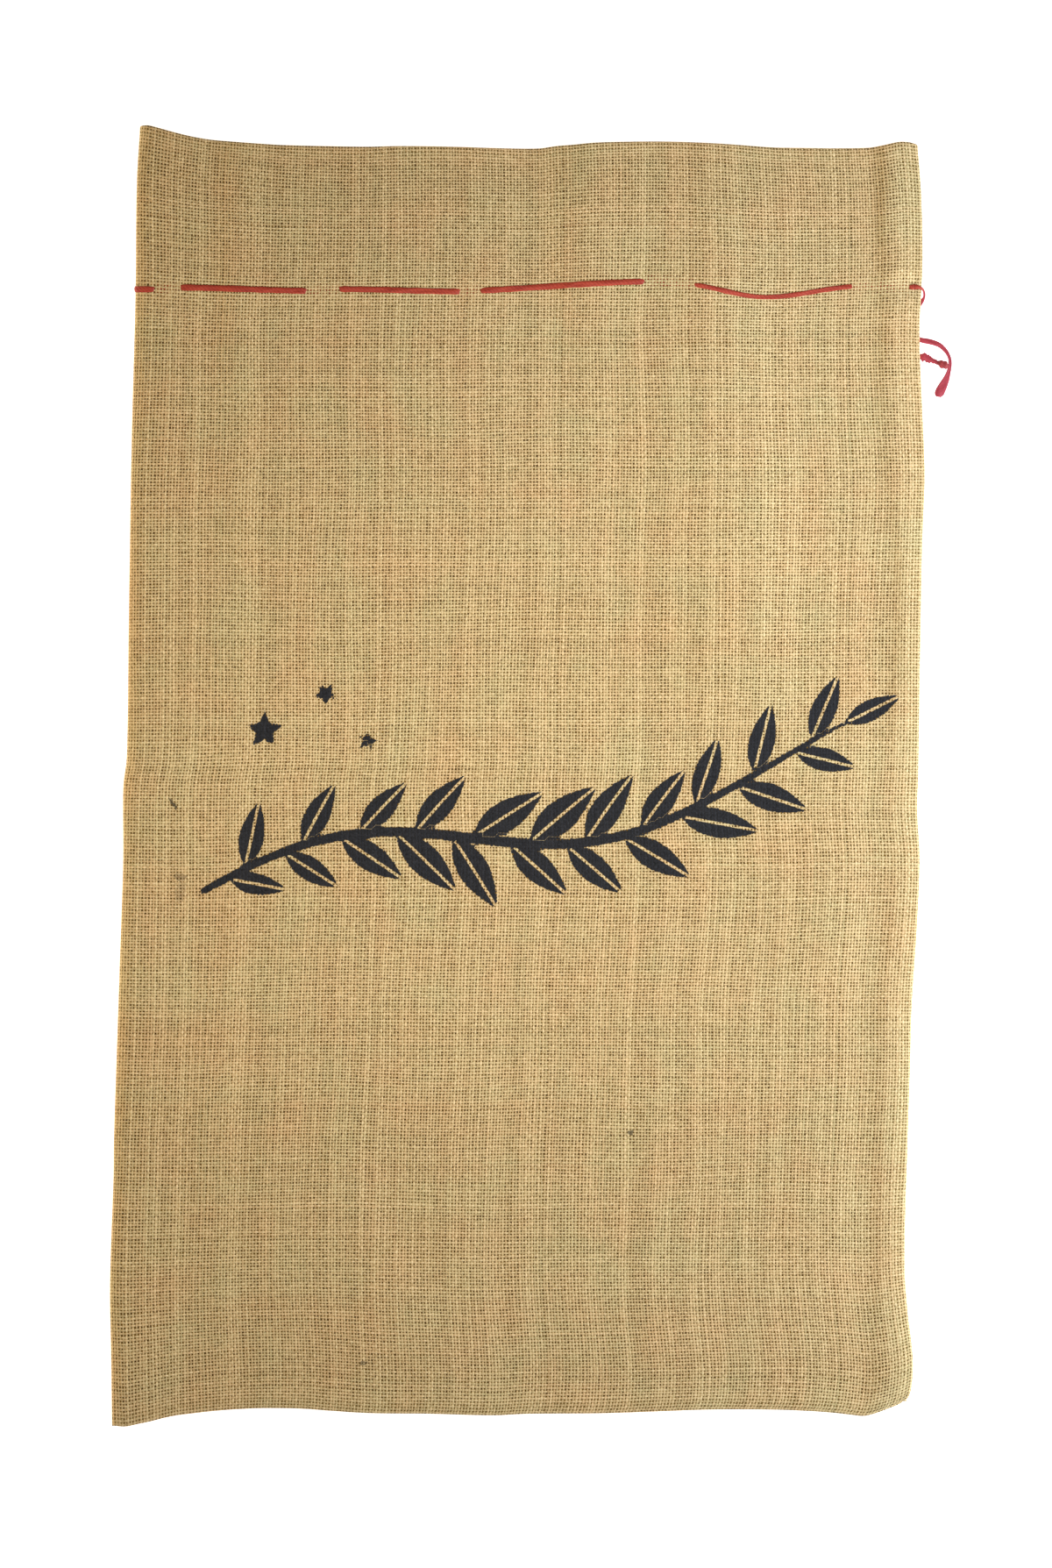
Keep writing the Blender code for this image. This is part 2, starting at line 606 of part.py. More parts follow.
def seam_boxes():
    """The last pass up through the side seam, and the way to it between the seam's layers."""
    x, y = FRONT_PASSES[-1], front_line(FRONT_PASSES[-1])
    low, high = TUNNEL_MIDDLE - TUNNEL_HALF_HEIGHT, TUNNEL_MIDDLE + TUNNEL_HALF_HEIGHT
    inside = in_plan(WIDTH / 2 - SIDE_SEAM, y)[0] - 3
    wide = 0.5 * SLOT_WIDTH
    return slot_box(x, y, low, high + 6), ((inside, y - wide, low - 0.01), (x + 1.0, y + wide, high))


def build():
    for item in list(bpy.data.objects):
        bpy.data.objects.remove(item)
    burlap = new_material("burlap", (0.56, 0.42, 0.20), 0.92)
    satin = new_material("red_satin", (0.48, 0.07, 0.06), 0.42)

    bm = cloth_bmesh()
    faces = Faces(bm)
    route = [(point, Vector((0, 1, 0))) for point in held_route(faces)]
    seam_slot, seam_tunnel = seam_boxes()
    cutters = [
        cutter("slot_cutter", slot_boxes(faces)),
        cutter("seam_slot_cutter", [seam_slot]),
        cutter("seam_tunnel_cutter", [seam_tunnel]),
    ]
    body = new_object("burlap_body", bm, burlap)
    for item in cutters:
        cut = body.modifiers.new(item.name, "BOOLEAN")
        cut.operation = "DIFFERENCE"
        cut.object = item
    new_object("drawstring_ribbon", ribbon_bmesh(route, [RIBBON_WIDTH] * len(route)), satin)
    new_object("tie_strand_long", strand_bmesh(OVER_THE_EDGE, LONG_END, -1), satin)
    new_object("tie_strand_short", strand_bmesh(UNDER_THE_EDGE, SHORT_END, 1), satin)
    new_object("tie_knot", knot_bmesh(), satin)


build()
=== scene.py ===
import math

import bpy
import numpy as np
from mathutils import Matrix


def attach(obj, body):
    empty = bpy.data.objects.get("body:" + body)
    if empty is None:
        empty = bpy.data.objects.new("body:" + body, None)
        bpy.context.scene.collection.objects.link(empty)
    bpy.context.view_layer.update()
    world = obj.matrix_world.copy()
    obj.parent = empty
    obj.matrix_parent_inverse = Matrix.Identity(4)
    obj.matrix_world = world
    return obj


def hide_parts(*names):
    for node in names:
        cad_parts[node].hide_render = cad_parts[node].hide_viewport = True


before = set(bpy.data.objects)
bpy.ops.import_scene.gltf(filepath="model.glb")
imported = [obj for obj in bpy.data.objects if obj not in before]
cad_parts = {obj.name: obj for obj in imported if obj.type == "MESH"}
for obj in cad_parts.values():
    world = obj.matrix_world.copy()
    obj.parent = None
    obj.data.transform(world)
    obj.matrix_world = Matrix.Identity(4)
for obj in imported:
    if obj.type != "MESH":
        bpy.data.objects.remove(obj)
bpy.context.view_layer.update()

MM = 0.001

# ---- the sack's shape, close to the CAD's
# "Across" is X from the middle of the sack, "along" is Y from it, both in millimetres on the straight
# 600 x 960 rectangle that the uneven edges are measured from.
WIDTH = 600.0
LENGTH = 960.0
CLOTH = 1.5
LOFT = 13.4
HEM_DEPTH = 13.0
SIDE_SEAM = 14.0
FOOT_SEAM = 12.0
FOLD_EDGE_HEIGHT = 6.0
SEAM_EDGE_HEIGHT = 4.8
FOOT_EDGE_HEIGHT = 5.0
LEFT_RISE = 90.0
RIGHT_RISE = 80.0
FOOT_RISE = 120.0
CORNER_FALL = 3.0
CORNER_REACH = 230.0
FOLD_START = 1.6
CHANNEL_LIFT = 1.3
CHANNEL_HALF_WIDTH = 7.0
CHANNEL_FADE = 9.0
SEAM_LIFT_REACH = 30.0
TUNNEL_MIDDLE = 4.6
END_SWAY = 220.0
GAP = 0.3
RIBBON_THICKNESS = 0.6
TABLE_GAP = 0.1

# How far each edge runs outside the straight rectangle. (along, outwards to -X)
LEFT_EDGE = [
    (-480, 6.5), (-430, 7.2), (-383, 8.0), (-303, 5.3), (-276, 5.0), (-143, 0.6), (-63, -2.0), (-8, -2.1),
    (14, -4.8), (120, -6.3), (255, -8.5), (360, -11.4), (440, -12.4), (480, -15.0),
]
# (along, outwards to +X)
RIGHT_EDGE = [
    (-480, -3.5), (-473, -0.6), (-462, 0.9), (-448, 1.4), (-430, -0.2), (-410, -2.6), (-370, -5.0),
    (-276, -2.6), (-220, -0.8), (-175, 0.4), (-117, 4.2), (-64, 6.4), (-26, 4.6), (0, 5.4), (96, 6.9),
    (176, 8.4), (229, 10.2), (282, 8.2), (335, 6.2), (390, 8.6), (440, 7.6), (480, 4.6),
]
# (across, outwards to +Y)
MOUTH_EDGE = [
    (-300, 14.2), (-292, 12.6), (-285, 10.8), (-272, 7.2), (-258, 4.0), (-245, 1.9), (-232, 0.7),
    (-218, -0.4), (-205, -1.3), (-192, -2.1), (-165, -2.8), (-125, -3.4), (-99, -2.9), (-59, -3.4),
    (-19, -4.6), (8, -4.7), (21, -3.0), (34, -2.1), (48, -0.8), (61, -0.2), (101, 0.4), (127, -0.2),
    (154, -1.6), (181, -3.5), (194, -4.1), (260, -4.1), (274, -2.1), (287, 0.4), (300, -0.8),
]
# (across, outwards to -Y)
FOOT_EDGE = [
    (-300, 12.9), (-290, 13.8), (-281, 12.0), (-271, 9.9), (-261, 7.3), (-251, 5.3), (-241, 4.0), (-221, 1.8),
    (-201, 0.4), (-182, -0.2), (-155, 0.3), (-138, 1.6), (-105, 3.6), (-60, 4.1), (-12, 5.3), (12, 4.2),
    (70, 3.7), (110, 2.4), (150, 1.0), (200, 1.0), (230, 2.2), (248, 3.6), (258, 4.8), (268, 5.8), (276, 3.9),
    (287, -0.1), (296, -4.1), (300, -8.0),
]
# How high the underside of the right edge lies over the surface. (along, height)
RIGHT_EDGE_LIFT = [(-480, 0.9), (250, 0.9), (305, 2.2), (385, 2.2), (430, 1.0), (480, 0.8)]

# The folds of the front ply: (across, along, height, reach to +X or the mouth, reach to -X or the foot).
FOLDS = {
    "long ridge down the right half": [
        (146, 500, 2.6, 36, 40), (147, 440, 2.6, 40, 50), (146, 380, 4.4, 48, 60), (150, 330, 5.4, 50, 84),
        (160, 200, 6.0, 54, 96), (164, 100, 4.8, 56, 96), (176, 20, 1.0, 58, 90),
    ],
    "hollow between that ridge and the sewn edge": [
        (232, 500, -1.2, 44, 56), (232, 400, -1.5, 46, 58), (232, 300, -2.0, 50, 60),
        (234, 200, -2.4, 50, 60), (236, 100, -2.2, 50, 60), (238, 20, 0.0, 50, 60),
    ],
    "fold at the middle of the mouth": [
        (50, 500, 4.8, 108, 44), (48, 430, 4.2, 100, 44), (46, 372, 2.2, 80, 36), (58, 300, 0.8, 70, 34),
        (66, 250, 0.0, 60, 34),
    ],
    "hollow left of that fold": [
        (-4, 500, -0.9, 34, 60), (-4, 430, -0.9, 34, 60), (14, 360, -0.9, 26, 40), (22, 290, 0.0, 26, 40),
    ],
    "shallow fold at the left of the mouth": [
        (-223, 500, 1.2, 60, 18), (-224, 340, 1.5, 60, 17), (-223, 280, 0.0, 56, 18),
    ],
    "crease where the sack was folded across": [
        (-300, 9, -0.7, 8, 8), (-60, 8, -0.9, 8, 8), (200, -2, -0.9, 8, 8), (300, -14, -1.4, 8, 8),
    ],
    "slanting crease above the middle": [
        (32, 235, 0.0, 18, 18), (66, 160, -1.0, 18, 18), (104, 90, 0.0, 18, 18),
    ],
    "slanting crease below the middle": [
        (-104, -270, 0.0, 30, 24), (-92, -310, -1.3, 36, 28), (-79, -345, -1.7, 36, 28),
        (-54, -395, -1.2, 36, 28), (-34, -425, 0.0, 30, 24),
    ],
    "swell below the middle": [(60, -90, 0.6, 90, 90), (120, -220, 1.2, 100, 100), (90, -380, 0.6, 90, 90)],
    "swell over the right of the middle": [
        (230, -40, 0.6, 34, 60), (236, -110, 2.2, 34, 60), (232, -190, 0.0, 34, 60),
    ],
    "small swell at the middle": [(97, -92, 0.0, 30, 46), (98, -122, 1.3, 30, 46), (97, -156, 0.0, 30, 46)],
}

# Heights of the front ply beside its edges, where the cloth stands fuller than a plain round. Beside the
# folded edge: (distance from it, height). Beside the sewn edge the cloth rises over the seam's allowances,
# with a wall on their inner side: (distance over the wall's distance, height with the wall, without it).
FOLDED_SIDE = [
    (0, 7.2), (2, 9.8), (5, 11.7), (9, 12.6), (16, 13.2), (30, 13.8), (60, 14.4), (90, 14.8), (100, 14.8),
]
SEWN_SIDE = [
    (0.0, 8.0, 8.0), (0.1, 10.0, 9.8), (0.2, 11.1, 10.9), (0.3, 11.8, 11.6), (0.5, 12.7, 12.3),
    (0.7, 13.3, 12.7), (0.84, 13.5, 12.9), (0.92, 13.3, 13.0), (1.0, 12.6, 13.1), (1.08, 11.9, 13.25),
    (1.18, 11.5, 13.4), (1.35, 11.5, 13.6), (1.6, 11.9, 13.8), (2.2, 12.9, 14.2), (3.2, 14.1, 14.6),
    (4.5, 14.8, 14.8), (4.8, 14.8, 14.8),
]
# (along, distance of the wall's middle from the sewn edge, how marked the wall is, how much the cloth over
# the allowances leans towards the edge)
WALL = [
    (-480, 31, 0.6, -0.2), (-460, 29, 0.75, -0.3), (-426, 27, 0.5, -0.3), (-376, 21, 0.55, -0.3),
    (-310, 21, 0.6, -0.35), (-243, 24, 0.4, -0.3), (-177, 26, 0.4, -0.2), (-110, 19, 0.3, -0.1),
    (-44, 20, 0.12, 0.0), (0, 20, 0.15, 0.0), (33, 21, 0.4, 0.0), (89, 18, 0.8, 0.0),
    (130, 17.5, 0.95, -0.2), (156, 17.5, 1.1, -0.2), (186, 20, 0.8, -0.35), (222, 27, 0.8, -0.4),
    (276, 31, 0.95, -0.15), (312, 30, 1.0, 0.2), (345, 28, 0.8, 0.4), (389, 31, 1.1, 0.7),
    (419, 32, 1.45, 0.9), (452, 29.5, 1.5, 0.9), (480, 28, 1.4, 0.7),
]
DIMPLE = 11.0  # how far round the drawstring's line the fuller edge is drawn down
DIMPLE_LINE = 371.0  # that line's y at the sewn edge

# The drawstring's line on the front ply in plan, and the x of each pass through the plies.
FRONT_LINE = [
    (-290, 368.6), (-274, 368.6), (-254, 369.9), (-159, 367.3), (-134, 368.6), (-42, 366.7), (-27, 367.4),
    (97, 374.3), (135, 371.7), (188, 362.5), (255, 370.8), (300, 370.2),
]
FRONT_PASSES = [-273.7, -254.4, -158.7, -134.0, -42.2, -26.9, 97.4, 135.4, 255.1, 298.3]
BACK_LINE = 369.5
BACK_PASSES = [276.0, 246.0, 118.0, 84.0, -46.0, -80.0, -206.0, -238.0]
# The tie's strands: (x, y, height, then the direction of the width), then (x, y, height, width).
OVER_THE_EDGE = [
    (302.2, 370.4, 9.4, 0.0, 1.0, 0.0), (305.4, 370.2, 9.1, 0.1, 1.0, -0.1),
    (308.2, 369.0, 7.9, 0.4, 0.8, -0.3), (309.6, 366.4, 6.2, 0.8, 0.4, -0.3),
    (309.6, 362.9, 4.4, 1.0, 0.1, -0.2), (307.6, 359.4, 2.6, 0.9, -0.4, -0.1),
    (304.4, 355.4, 1.1, 0.9, -0.4, 0.0), (301.6, 350.2, 0.6, 1.0, -0.2, 0.0),
    (300.6, 343.6, 0.5, 1.0, 0.0, 0.0), (301.4, 337.8, 0.5, 0.9, 0.3, 0.0),
    (303.4, 333.6, 0.5, 0.7, 0.7, 0.0), (305.6, 331.4, 0.5, 0.25, 1.0, 0.0),
    (308.0, 330.4, 0.5, 0.1, 1.0, 0.0),
]
UNDER_THE_EDGE = [
    (281.0, 369.5, 0.5, 0.0, 1.0, 0.0), (287.0, 369.4, 0.5, 0.1, 1.0, 0.0),
    (291.6, 368.0, 0.5, 0.4, 1.0, 0.0), (295.0, 364.4, 0.5, 0.8, 0.6, 0.0),
    (296.6, 359.0, 0.5, 1.0, 0.15, 0.0), (297.0, 352.0, 0.5, 1.0, 0.0, 0.0),
    (297.0, 342.0, 0.5, 1.0, 0.0, 0.0), (297.0, 333.0, 0.5, 1.0, 0.0, 0.0),
    (297.4, 327.0, 0.5, 1.0, 0.3, 0.0), (299.6, 322.4, 0.5, 0.8, 0.8, 0.0),
    (303.4, 319.6, 0.5, 0.5, 1.0, 0.0), (306.6, 318.4, 0.5, 0.35, 1.0, 0.0),
]
LONG_END = [
    (312.0, 329.7, 0.4, 4.6), (317.0, 328.5, 0.6, 4.4), (321.6, 326.6, 0.9, 4.2), (325.4, 323.3, 1.1, 3.8),
    (328.0, 319.6, 1.2, 3.2), (329.4, 315.6, 1.0, 2.9), (329.5, 311.4, 0.8, 3.0), (328.5, 306.6, 0.6, 3.8),
    (326.7, 301.2, 0.4, 5.4), (324.4, 296.4, 0.4, 7.2), (322.2, 292.0, 0.4, 8.2), (321.0, 289.2, 0.4, 7.4),
    (320.6, 287.4, 0.4, 4.0),
]
SHORT_END = [
    (309.0, 317.6, 0.9, 8.8), (311.2, 316.8, 1.1, 7.4), (313.4, 315.8, 1.4, 6.2), (316.6, 314.5, 1.9, 4.6),
    (320.4, 313.3, 2.3, 4.2),
]
STRAND_STEP, FRAYED_STEP, HELD_STEP = 0.9, 0.45, 1.0  # spacing of the ribbon's rings
HELD_START = (280.6, 369.5, 0.5)
HELD_END = (302.1, 370.4, 9.4)
LOWEST_ON_FRONT = 7.5  # the ribbon's runs in the front ply lie higher than this
RIBBON_WIDTH = 3.6
CURL_WIDTHS = [4.2, 3.0, 2.3, 2.1, 2.2]  # the long strand's widths where it curls over the edge
WIDEST = 4.1  # no ribbon reaches further to either side
TAIL_SLIM = 0.86  # the free ends are this share of their rows' widths
KNOT_CENTRE = (324.2, 311.9, 2.5)
KNOT_RADII = (4.2, 3.0, 2.3)
KNOT_TURN = math.radians(-20)

# ---- looks, in millimetres unless named
WARP_PITCH = 2.36  # yarns that run from foot to mouth
WEFT_PITCH = 2.41  # yarns that run across
FRONT_STEP = 2.9  # spacing of the front's mesh
BACK_STEP = 5.8
INSIDE_STEP = 12.0
PHOTO_TALL = 1189.4  # what the picture's frame covers of the cloth, from top to bottom
PHOTO_MIDDLE = (7.65, -6.3)
EYE_HEIGHT = 8000.0
EYE_PLANE = 3.0  # height at which the frame covers that much


def smooth(share):
    share = np.clip(share, 0.0, 1.0)
    return share * share * (3 - 2 * share)


def along_table(rows, place, column=1):
    """A smooth curve through each row's place and one of its values, held level past its ends."""
    spots = np.array([row[0] for row in rows], float)
    values = np.array([row[column] for row in rows], float)
    count = np.arange(len(rows))
    low, high = np.maximum(count - 1, 0), np.minimum(count + 1, len(rows) - 1)
    slopes = (values[high] - values[low]) / (spots[high] - spots[low])
    place = np.clip(np.asarray(place, float), spots[0], spots[-1])
    right = np.clip(np.searchsorted(spots, place), 1, len(rows) - 1)
    left = right - 1
    span = spots[right] - spots[left]
    t = (place - spots[left]) / span
    return (
        values[left] * (1 + 2 * t) * (1 - t) ** 2
        + values[right] * t * t * (3 - 2 * t)
        + slopes[left] * span * t * (1 - t) ** 2
        - slopes[right] * span * t * t * (1 - t)
    )


def in_plan(across, along):
    """The plan position of a point of the straight rectangle."""
    u = across / WIDTH + 0.5
    x = across - along_table(LEFT_EDGE, along) * (1 - u) + along_table(RIGHT_EDGE, along) * u
    near_mouth = np.maximum(0.0, (along - LENGTH / 2) / END_SWAY + 1) ** 2
    near_foot = np.maximum(0.0, (-along - LENGTH / 2) / END_SWAY + 1) ** 2
    y = along - along_table(FOOT_EDGE, across) * near_foot + along_table(MOUTH_EDGE, across) * near_mouth
    return x, y


def on_cloth(x, y):
    """The (across, along) whose plan position is (x, y)."""
    across, along = np.asarray(x, float), np.asarray(y, float)
    for _ in range(8):
        at_x, at_y = in_plan(across, along)
        across, along = across + (x - at_x), along + (y - at_y)
    return across, along


def turned(x, y, angle):
    return x * math.cos(angle) - y * math.sin(angle), x * math.sin(angle) + y * math.cos(angle)


def rise(distance, reach):
    return np.sin(math.pi / 2 * np.clip(distance / reach, 0.0, 1.0))


def fold_height(points, across, along):
    """The height that one fold adds: a cosine ridge beside the nearest stretch of its line."""
    nearest = np.full(np.broadcast(across, along).shape, np.inf)
    height, reach = np.zeros_like(nearest), np.ones_like(nearest)
    for start, end in zip(points, points[1:]):
        run_x, run_y = end[0] - start[0], end[1] - start[1]
        away_x, away_y = across - start[0], along - start[1]
        t = np.clip((away_x * run_x + away_y * run_y) / (run_x**2 + run_y**2), 0.0, 1.0)
        off_x, off_y = away_x - run_x * t, away_y - run_y * t
        off = np.hypot(off_x, off_y)
        normal = np.array([run_y, -run_x]) / math.hypot(run_x, run_y)
        if normal[0] + 0.3 * normal[1] < 0:
            normal = -normal
        ahead = smooth(0.5 + 0.5 * (off_x * normal[0] + off_y * normal[1]) / np.maximum(off, 1e-6))
        rows = [start[i] + (end[i] - start[i]) * t for i in (2, 3, 4)]
        closer = off < nearest
        nearest = np.where(closer, off, nearest)
        height = np.where(closer, rows[0], height)
        reach = np.where(closer, rows[2] + (rows[1] - rows[2]) * ahead, reach)
    return height * 0.5 * (1 + np.cos(math.pi * np.minimum(nearest / reach, 1.0)))


def front_height(across, along):
    """The upper face of the front ply over the surface."""
    left = rise(across + WIDTH / 2, LEFT_RISE)
    right = rise(WIDTH / 2 - across, RIGHT_RISE)
    foot = rise(along + LENGTH / 2, FOOT_RISE)
    right_base = SEAM_EDGE_HEIGHT + along_table(RIGHT_EDGE_LIFT, along)
    edge = FOLD_EDGE_HEIGHT + (right_base - FOLD_EDGE_HEIGHT) * smooth(across / WIDTH + 0.5)
    edge = edge + (FOOT_EDGE_HEIGHT - edge) * (1 - foot)
    height = edge + (LOFT - edge) * left * right * foot
    to_corner = np.hypot(across + WIDTH / 2, along + LENGTH / 2)
    height = height - CORNER_FALL * (1 - smooth(to_corner / CORNER_REACH)) * left * foot
    inside = np.minimum(1.0, FOLD_START * left * right * foot)
    for points in FOLDS.values():
        height = height + fold_height(points, across, along) * inside
    return height


def channel(y):
    return 1 - smooth((np.abs(y - BACK_LINE) - CHANNEL_HALF_WIDTH) / CHANNEL_FADE)


def back_height(across, along):
    """The lower face of the back ply over the surface."""
    inward = WIDTH / 2 - across
    lift = along_table(RIGHT_EDGE_LIFT, along) * (1 - smooth(inward / SEAM_LIFT_REACH))
    return np.maximum(lift, CHANNEL_LIFT * channel(in_plan(across, along)[1]))


# ---- finer relief of the cloth
def uneven(x, y, cell_x, cell_y, seed):
    """Smooth random values from -1 to 1, one for each cell of that size and blended between them."""
    table = np.random.default_rng(seed).uniform(-1, 1, (256, 256))
    gx, gy = np.asarray(x) / cell_x + 100.0, np.asarray(y) / cell_y + 100.0
    ix, iy = np.floor(gx).astype(int), np.floor(gy).astype(int)
    fx, fy = smooth(gx - ix), smooth(gy - iy)
    ix, iy = ix % 255, iy % 255
    low = table[ix, iy] * (1 - fx) + table[ix + 1, iy] * fx
    high = table[ix, iy + 1] * (1 - fx) + table[ix + 1, iy + 1] * fx
    return low * (1 - fy) + high * fy


def fuller_edges(across, along):
    """What the fuller edges add to front_height's plain rounds."""
    from_left, from_right = across + WIDTH / 2, WIDTH / 2 - across
    plain = FOLD_EDGE_HEIGHT + (LOFT - FOLD_EDGE_HEIGHT) * rise(from_left, LEFT_RISE)
    top = FOLDED_SIDE[-1][1] - LOFT
    left = along_table(FOLDED_SIDE, from_left) - plain - top * smooth(from_left / 60.0)
    base = SEAM_EDGE_HEIGHT + along_table(RIGHT_EDGE_LIFT, along)
    plain = base + (LOFT - base) * rise(from_right, RIGHT_RISE)
    share = from_right / along_table(WALL, along)
    marked = along_table(WALL, along, 2)
    walled, bare = along_table(SEWN_SIDE, share), along_table(SEWN_SIDE, share, 2)
    lean = along_table(WALL, along, 3) * smooth((share - 0.05) / 0.8)
    right = bare + (walled - bare) * marked + lean * (1 - smooth((share - 0.88) / 0.24))
    right = right - plain - top * smooth(share / 2.0)
    drawn = 1 - smooth((np.abs(in_plan(across, along)[1] - DIMPLE_LINE) - 2.0) / DIMPLE)
    right = right * (1 - drawn * (1 - smooth(from_right / 40.0)))
    return (left + right) * smooth((along + LENGTH / 2 + 4.0) / 34.0)


def front_relief(across, along):
    """The small waves and puckers of the front ply, over its folds."""
    inside = np.minimum(1.0, np.minimum(across + WIDTH / 2, WIDTH / 2 - across) / 25.0)
    inside = np.clip(np.minimum(inside, (along + LENGTH / 2) / 25.0), 0.0, 1.0)
    waves = 0.50 * uneven(across, along, 62, 105, 1) + 0.12 * uneven(across, along, 27, 44, 2)
    waves = waves + 0.06 * uneven(across, along, 11, 15, 3)
    return waves * (0.25 + 0.75 * inside) + fuller_edges(across, along)


def front_top(across, along):
    return front_height(across, along) + front_relief(across, along)


def back_relief(across, along):
    """The back lies on the surface, so it only rises."""
    return 0.18 * (1 + uneven(across, along, 40, 60, 5)) * 0.5


# ---- meshes
def add_uvs(mesh, name, uvs):
    """A UV map with one (u, v) for each point."""
    layer = mesh.uv_layers.new(name=name)
    corners = np.empty(len(mesh.loops), np.int32)
    mesh.loops.foreach_get("vertex_index", corners)
    layer.uv.foreach_set("vector", np.asarray(uvs, np.float32)[corners].ravel())


def placed(name, data):
    """A new object in the scene."""
    item = bpy.data.objects.new(name, data)
    bpy.context.scene.collection.objects.link(item)
    return item


def mesh_piece(name, points, faces, map_name, uvs):
    """A mesh piece from points and a UV map in millimetres of cloth or ribbon."""
    mesh = bpy.data.meshes.new(name)
    mesh.from_pydata((np.reshape(points, (-1, 3)) * MM).tolist(), [], faces)
    mesh.shade_smooth()
    add_uvs(mesh, map_name, np.reshape(uvs, (-1, 2)) * MM)
    return placed(name, mesh)


def grid_faces(rows, columns, flip=False, closed=False):
    """Quads over a grid of points, row after row. closed joins each row's last column to its first."""
    index = np.arange(rows * columns).reshape(rows, columns)
    if closed:
        index = np.hstack([index, index[:, :1]])
    quads = np.stack([index[:-1, :-1], index[:-1, 1:], index[1:, 1:], index[1:, :-1]], -1).reshape(-1, 4)
    return (quads[:, ::-1] if flip else quads).tolist()


def tube(name, rings, coords):
    """A tube through rings of points, with both ends closed."""
    count, columns = rings.shape[:2]
    faces = grid_faces(count, columns, closed=True)
    faces.append(list(range(columns))[::-1])
    faces.append([(count - 1) * columns + i for i in range(columns)])
    return mesh_piece(name, rings, faces, "satin", coords)


def set_values(item, name, values):
    """A number for each vertex, which the materials read by name."""
    layer = item.data.attributes.new(name, "FLOAT", "POINT")
    layer.data.foreach_set("value", np.asarray(values, np.float32).ravel())


FOLDED_BULGE, SEWN_BULGE = 3.0, 2.4  # how far the rounds of these edges stand out
ROUND = 5  # points round each quarter of an edge
FOOT_ANGLES = (90, 75, 60, 45, 30, 15)
LIP_ANGLES = (0, 25, 50, 75, 90, 105, 130, 155, 180)


def ply_rings(step):
    """Where each row of a ply lies: (along, skin, pull_in, flatten, cloth distance from the foot)."""
    rings = []
    radius = 0.5 * FOOT_EDGE_HEIGHT
    start, stop = -LENGTH / 2 + radius, LENGTH / 2 - CLOTH
    for angle in np.radians(FOOT_ANGLES):
        pull_in = radius * (1 - math.sin(angle))
        rings.append((-LENGTH / 2, 0.0, pull_in, math.cos(angle), start - radius * angle))
    count = round((stop - start) / step)
    for along in np.linspace(start, stop, count, endpoint=False):
        rings.append((along, 0.0, 0.0, 1.0, along))
    for angle in np.radians(LIP_ANGLES):
        skin, along = CLOTH * (1 - math.cos(angle)), stop + CLOTH * math.sin(angle)
        rings.append((along, skin, 0.0, 1.0, stop + CLOTH * angle))
    lip_end = stop + CLOTH * math.pi
    for back in (3.0, 6.0, 9.0, HEM_DEPTH - CLOTH):
        rings.append((stop - back, 2 * CLOTH, 0.0, 1.0, lip_end + back))
    rings.append((stop - HEM_DEPTH + CLOTH - 0.4, 1.6 * CLOTH, 0.0, 1.0, lip_end + HEM_DEPTH - CLOTH + 0.6))
    return rings


def ply_faces(across, along, skin, pull_in=0.0):
    """One row of points of the front's and one of the back's face, skin deep in the cloth."""
    x, y = in_plan(across, np.full_like(across, along))
    under = back_height(across, along) + back_relief(across, along) + skin
    rows = (front_top(across, along) - skin, under)
    return [np.stack([x, y + pull_in, heights], -1) for heights in rows]


def ply_rows(step, front):
    """The points and cloth coordinates of the front or the back ply, from edge to edge, row after row.
    Each row runs from the middle of the folded edge to the middle of the sewn one."""
    rows, coords = [], []
    columns = round(WIDTH / step)
    for along, skin, pull_in, flatten, cloth_along in ply_rings(step):
        left_in, right_in = FOLDED_BULGE + 3.0 * skin, SEWN_BULGE + 4.5 * skin
        across = np.linspace(-WIDTH / 2 + left_in, WIDTH / 2 - right_in, columns)
        faces = ply_faces(across, along, skin, pull_in)
        face, other = faces if front else faces[::-1]
        left, left_run = quarter_round(face[0], other[0], -1, FOLDED_BULGE, skin)
        right, right_run = quarter_round(face[-1], other[-1], 1, SEWN_BULGE, skin)
        points = np.vstack([left[::-1], face, right])
        middle = 0.5 * FOOT_EDGE_HEIGHT if flatten < 1 else 0.0
        points[:, 2] = middle + (points[:, 2] - middle) * flatten
        rows.append(points)
        u = np.concatenate([across[0] - left_run[::-1], across, across[-1] + right_run])
        coords.append(np.stack([u, np.full_like(u, cloth_along)], -1))
    return np.array(rows), np.array(coords)


def quarter_round(start, end, side, bulge, skin):
    """Points from a face to the middle of an edge, the far one last, and how far along the cloth each is."""
    bulge = bulge * (1.0 - 0.26 * skin)
    angles = np.linspace(0, math.pi / 2, ROUND + 1)[1:]
    share = 0.5 * (1 - np.cos(angles))[:, None]
    points = start + (end - start) * share
    points[:, 0] += side * bulge * np.sin(angles)
    return points, 0.5 * (bulge + 0.5 * abs(start[2] - end[2])) * angles


def ply(name, step, front):
    """One ply's piece, and the cloth coordinates of its points. A second UV map spreads it for baking."""
    rows, coords = ply_rows(step, front)
    item = mesh_piece(name, rows, grid_faces(*rows.shape[:2], flip=not front), "weave", coords)
    spread = coords.reshape(-1, 2)
    low, high = spread.min(axis=0), spread.max(axis=0)
    add_uvs(item.data, "OFBake", 0.005 + 0.99 * (spread - low) / (high - low))
    return item, spread


# ---- camera
camera_data = bpy.data.cameras.new("camera")
camera_data.sensor_width = 36.0
camera_data.lens = 36.0 * (EYE_HEIGHT - EYE_PLANE) / PHOTO_TALL
camera_data.clip_end = 100.0
camera = placed("camera", camera_data)
camera.location = np.multiply((*PHOTO_MIDDLE, EYE_HEIGHT), MM)
bpy.context.scene.camera = camera


# ---- ribbon
def unit(vectors):
    return vectors / np.maximum(np.linalg.norm(vectors, axis=-1, keepdims=True), 1e-9)


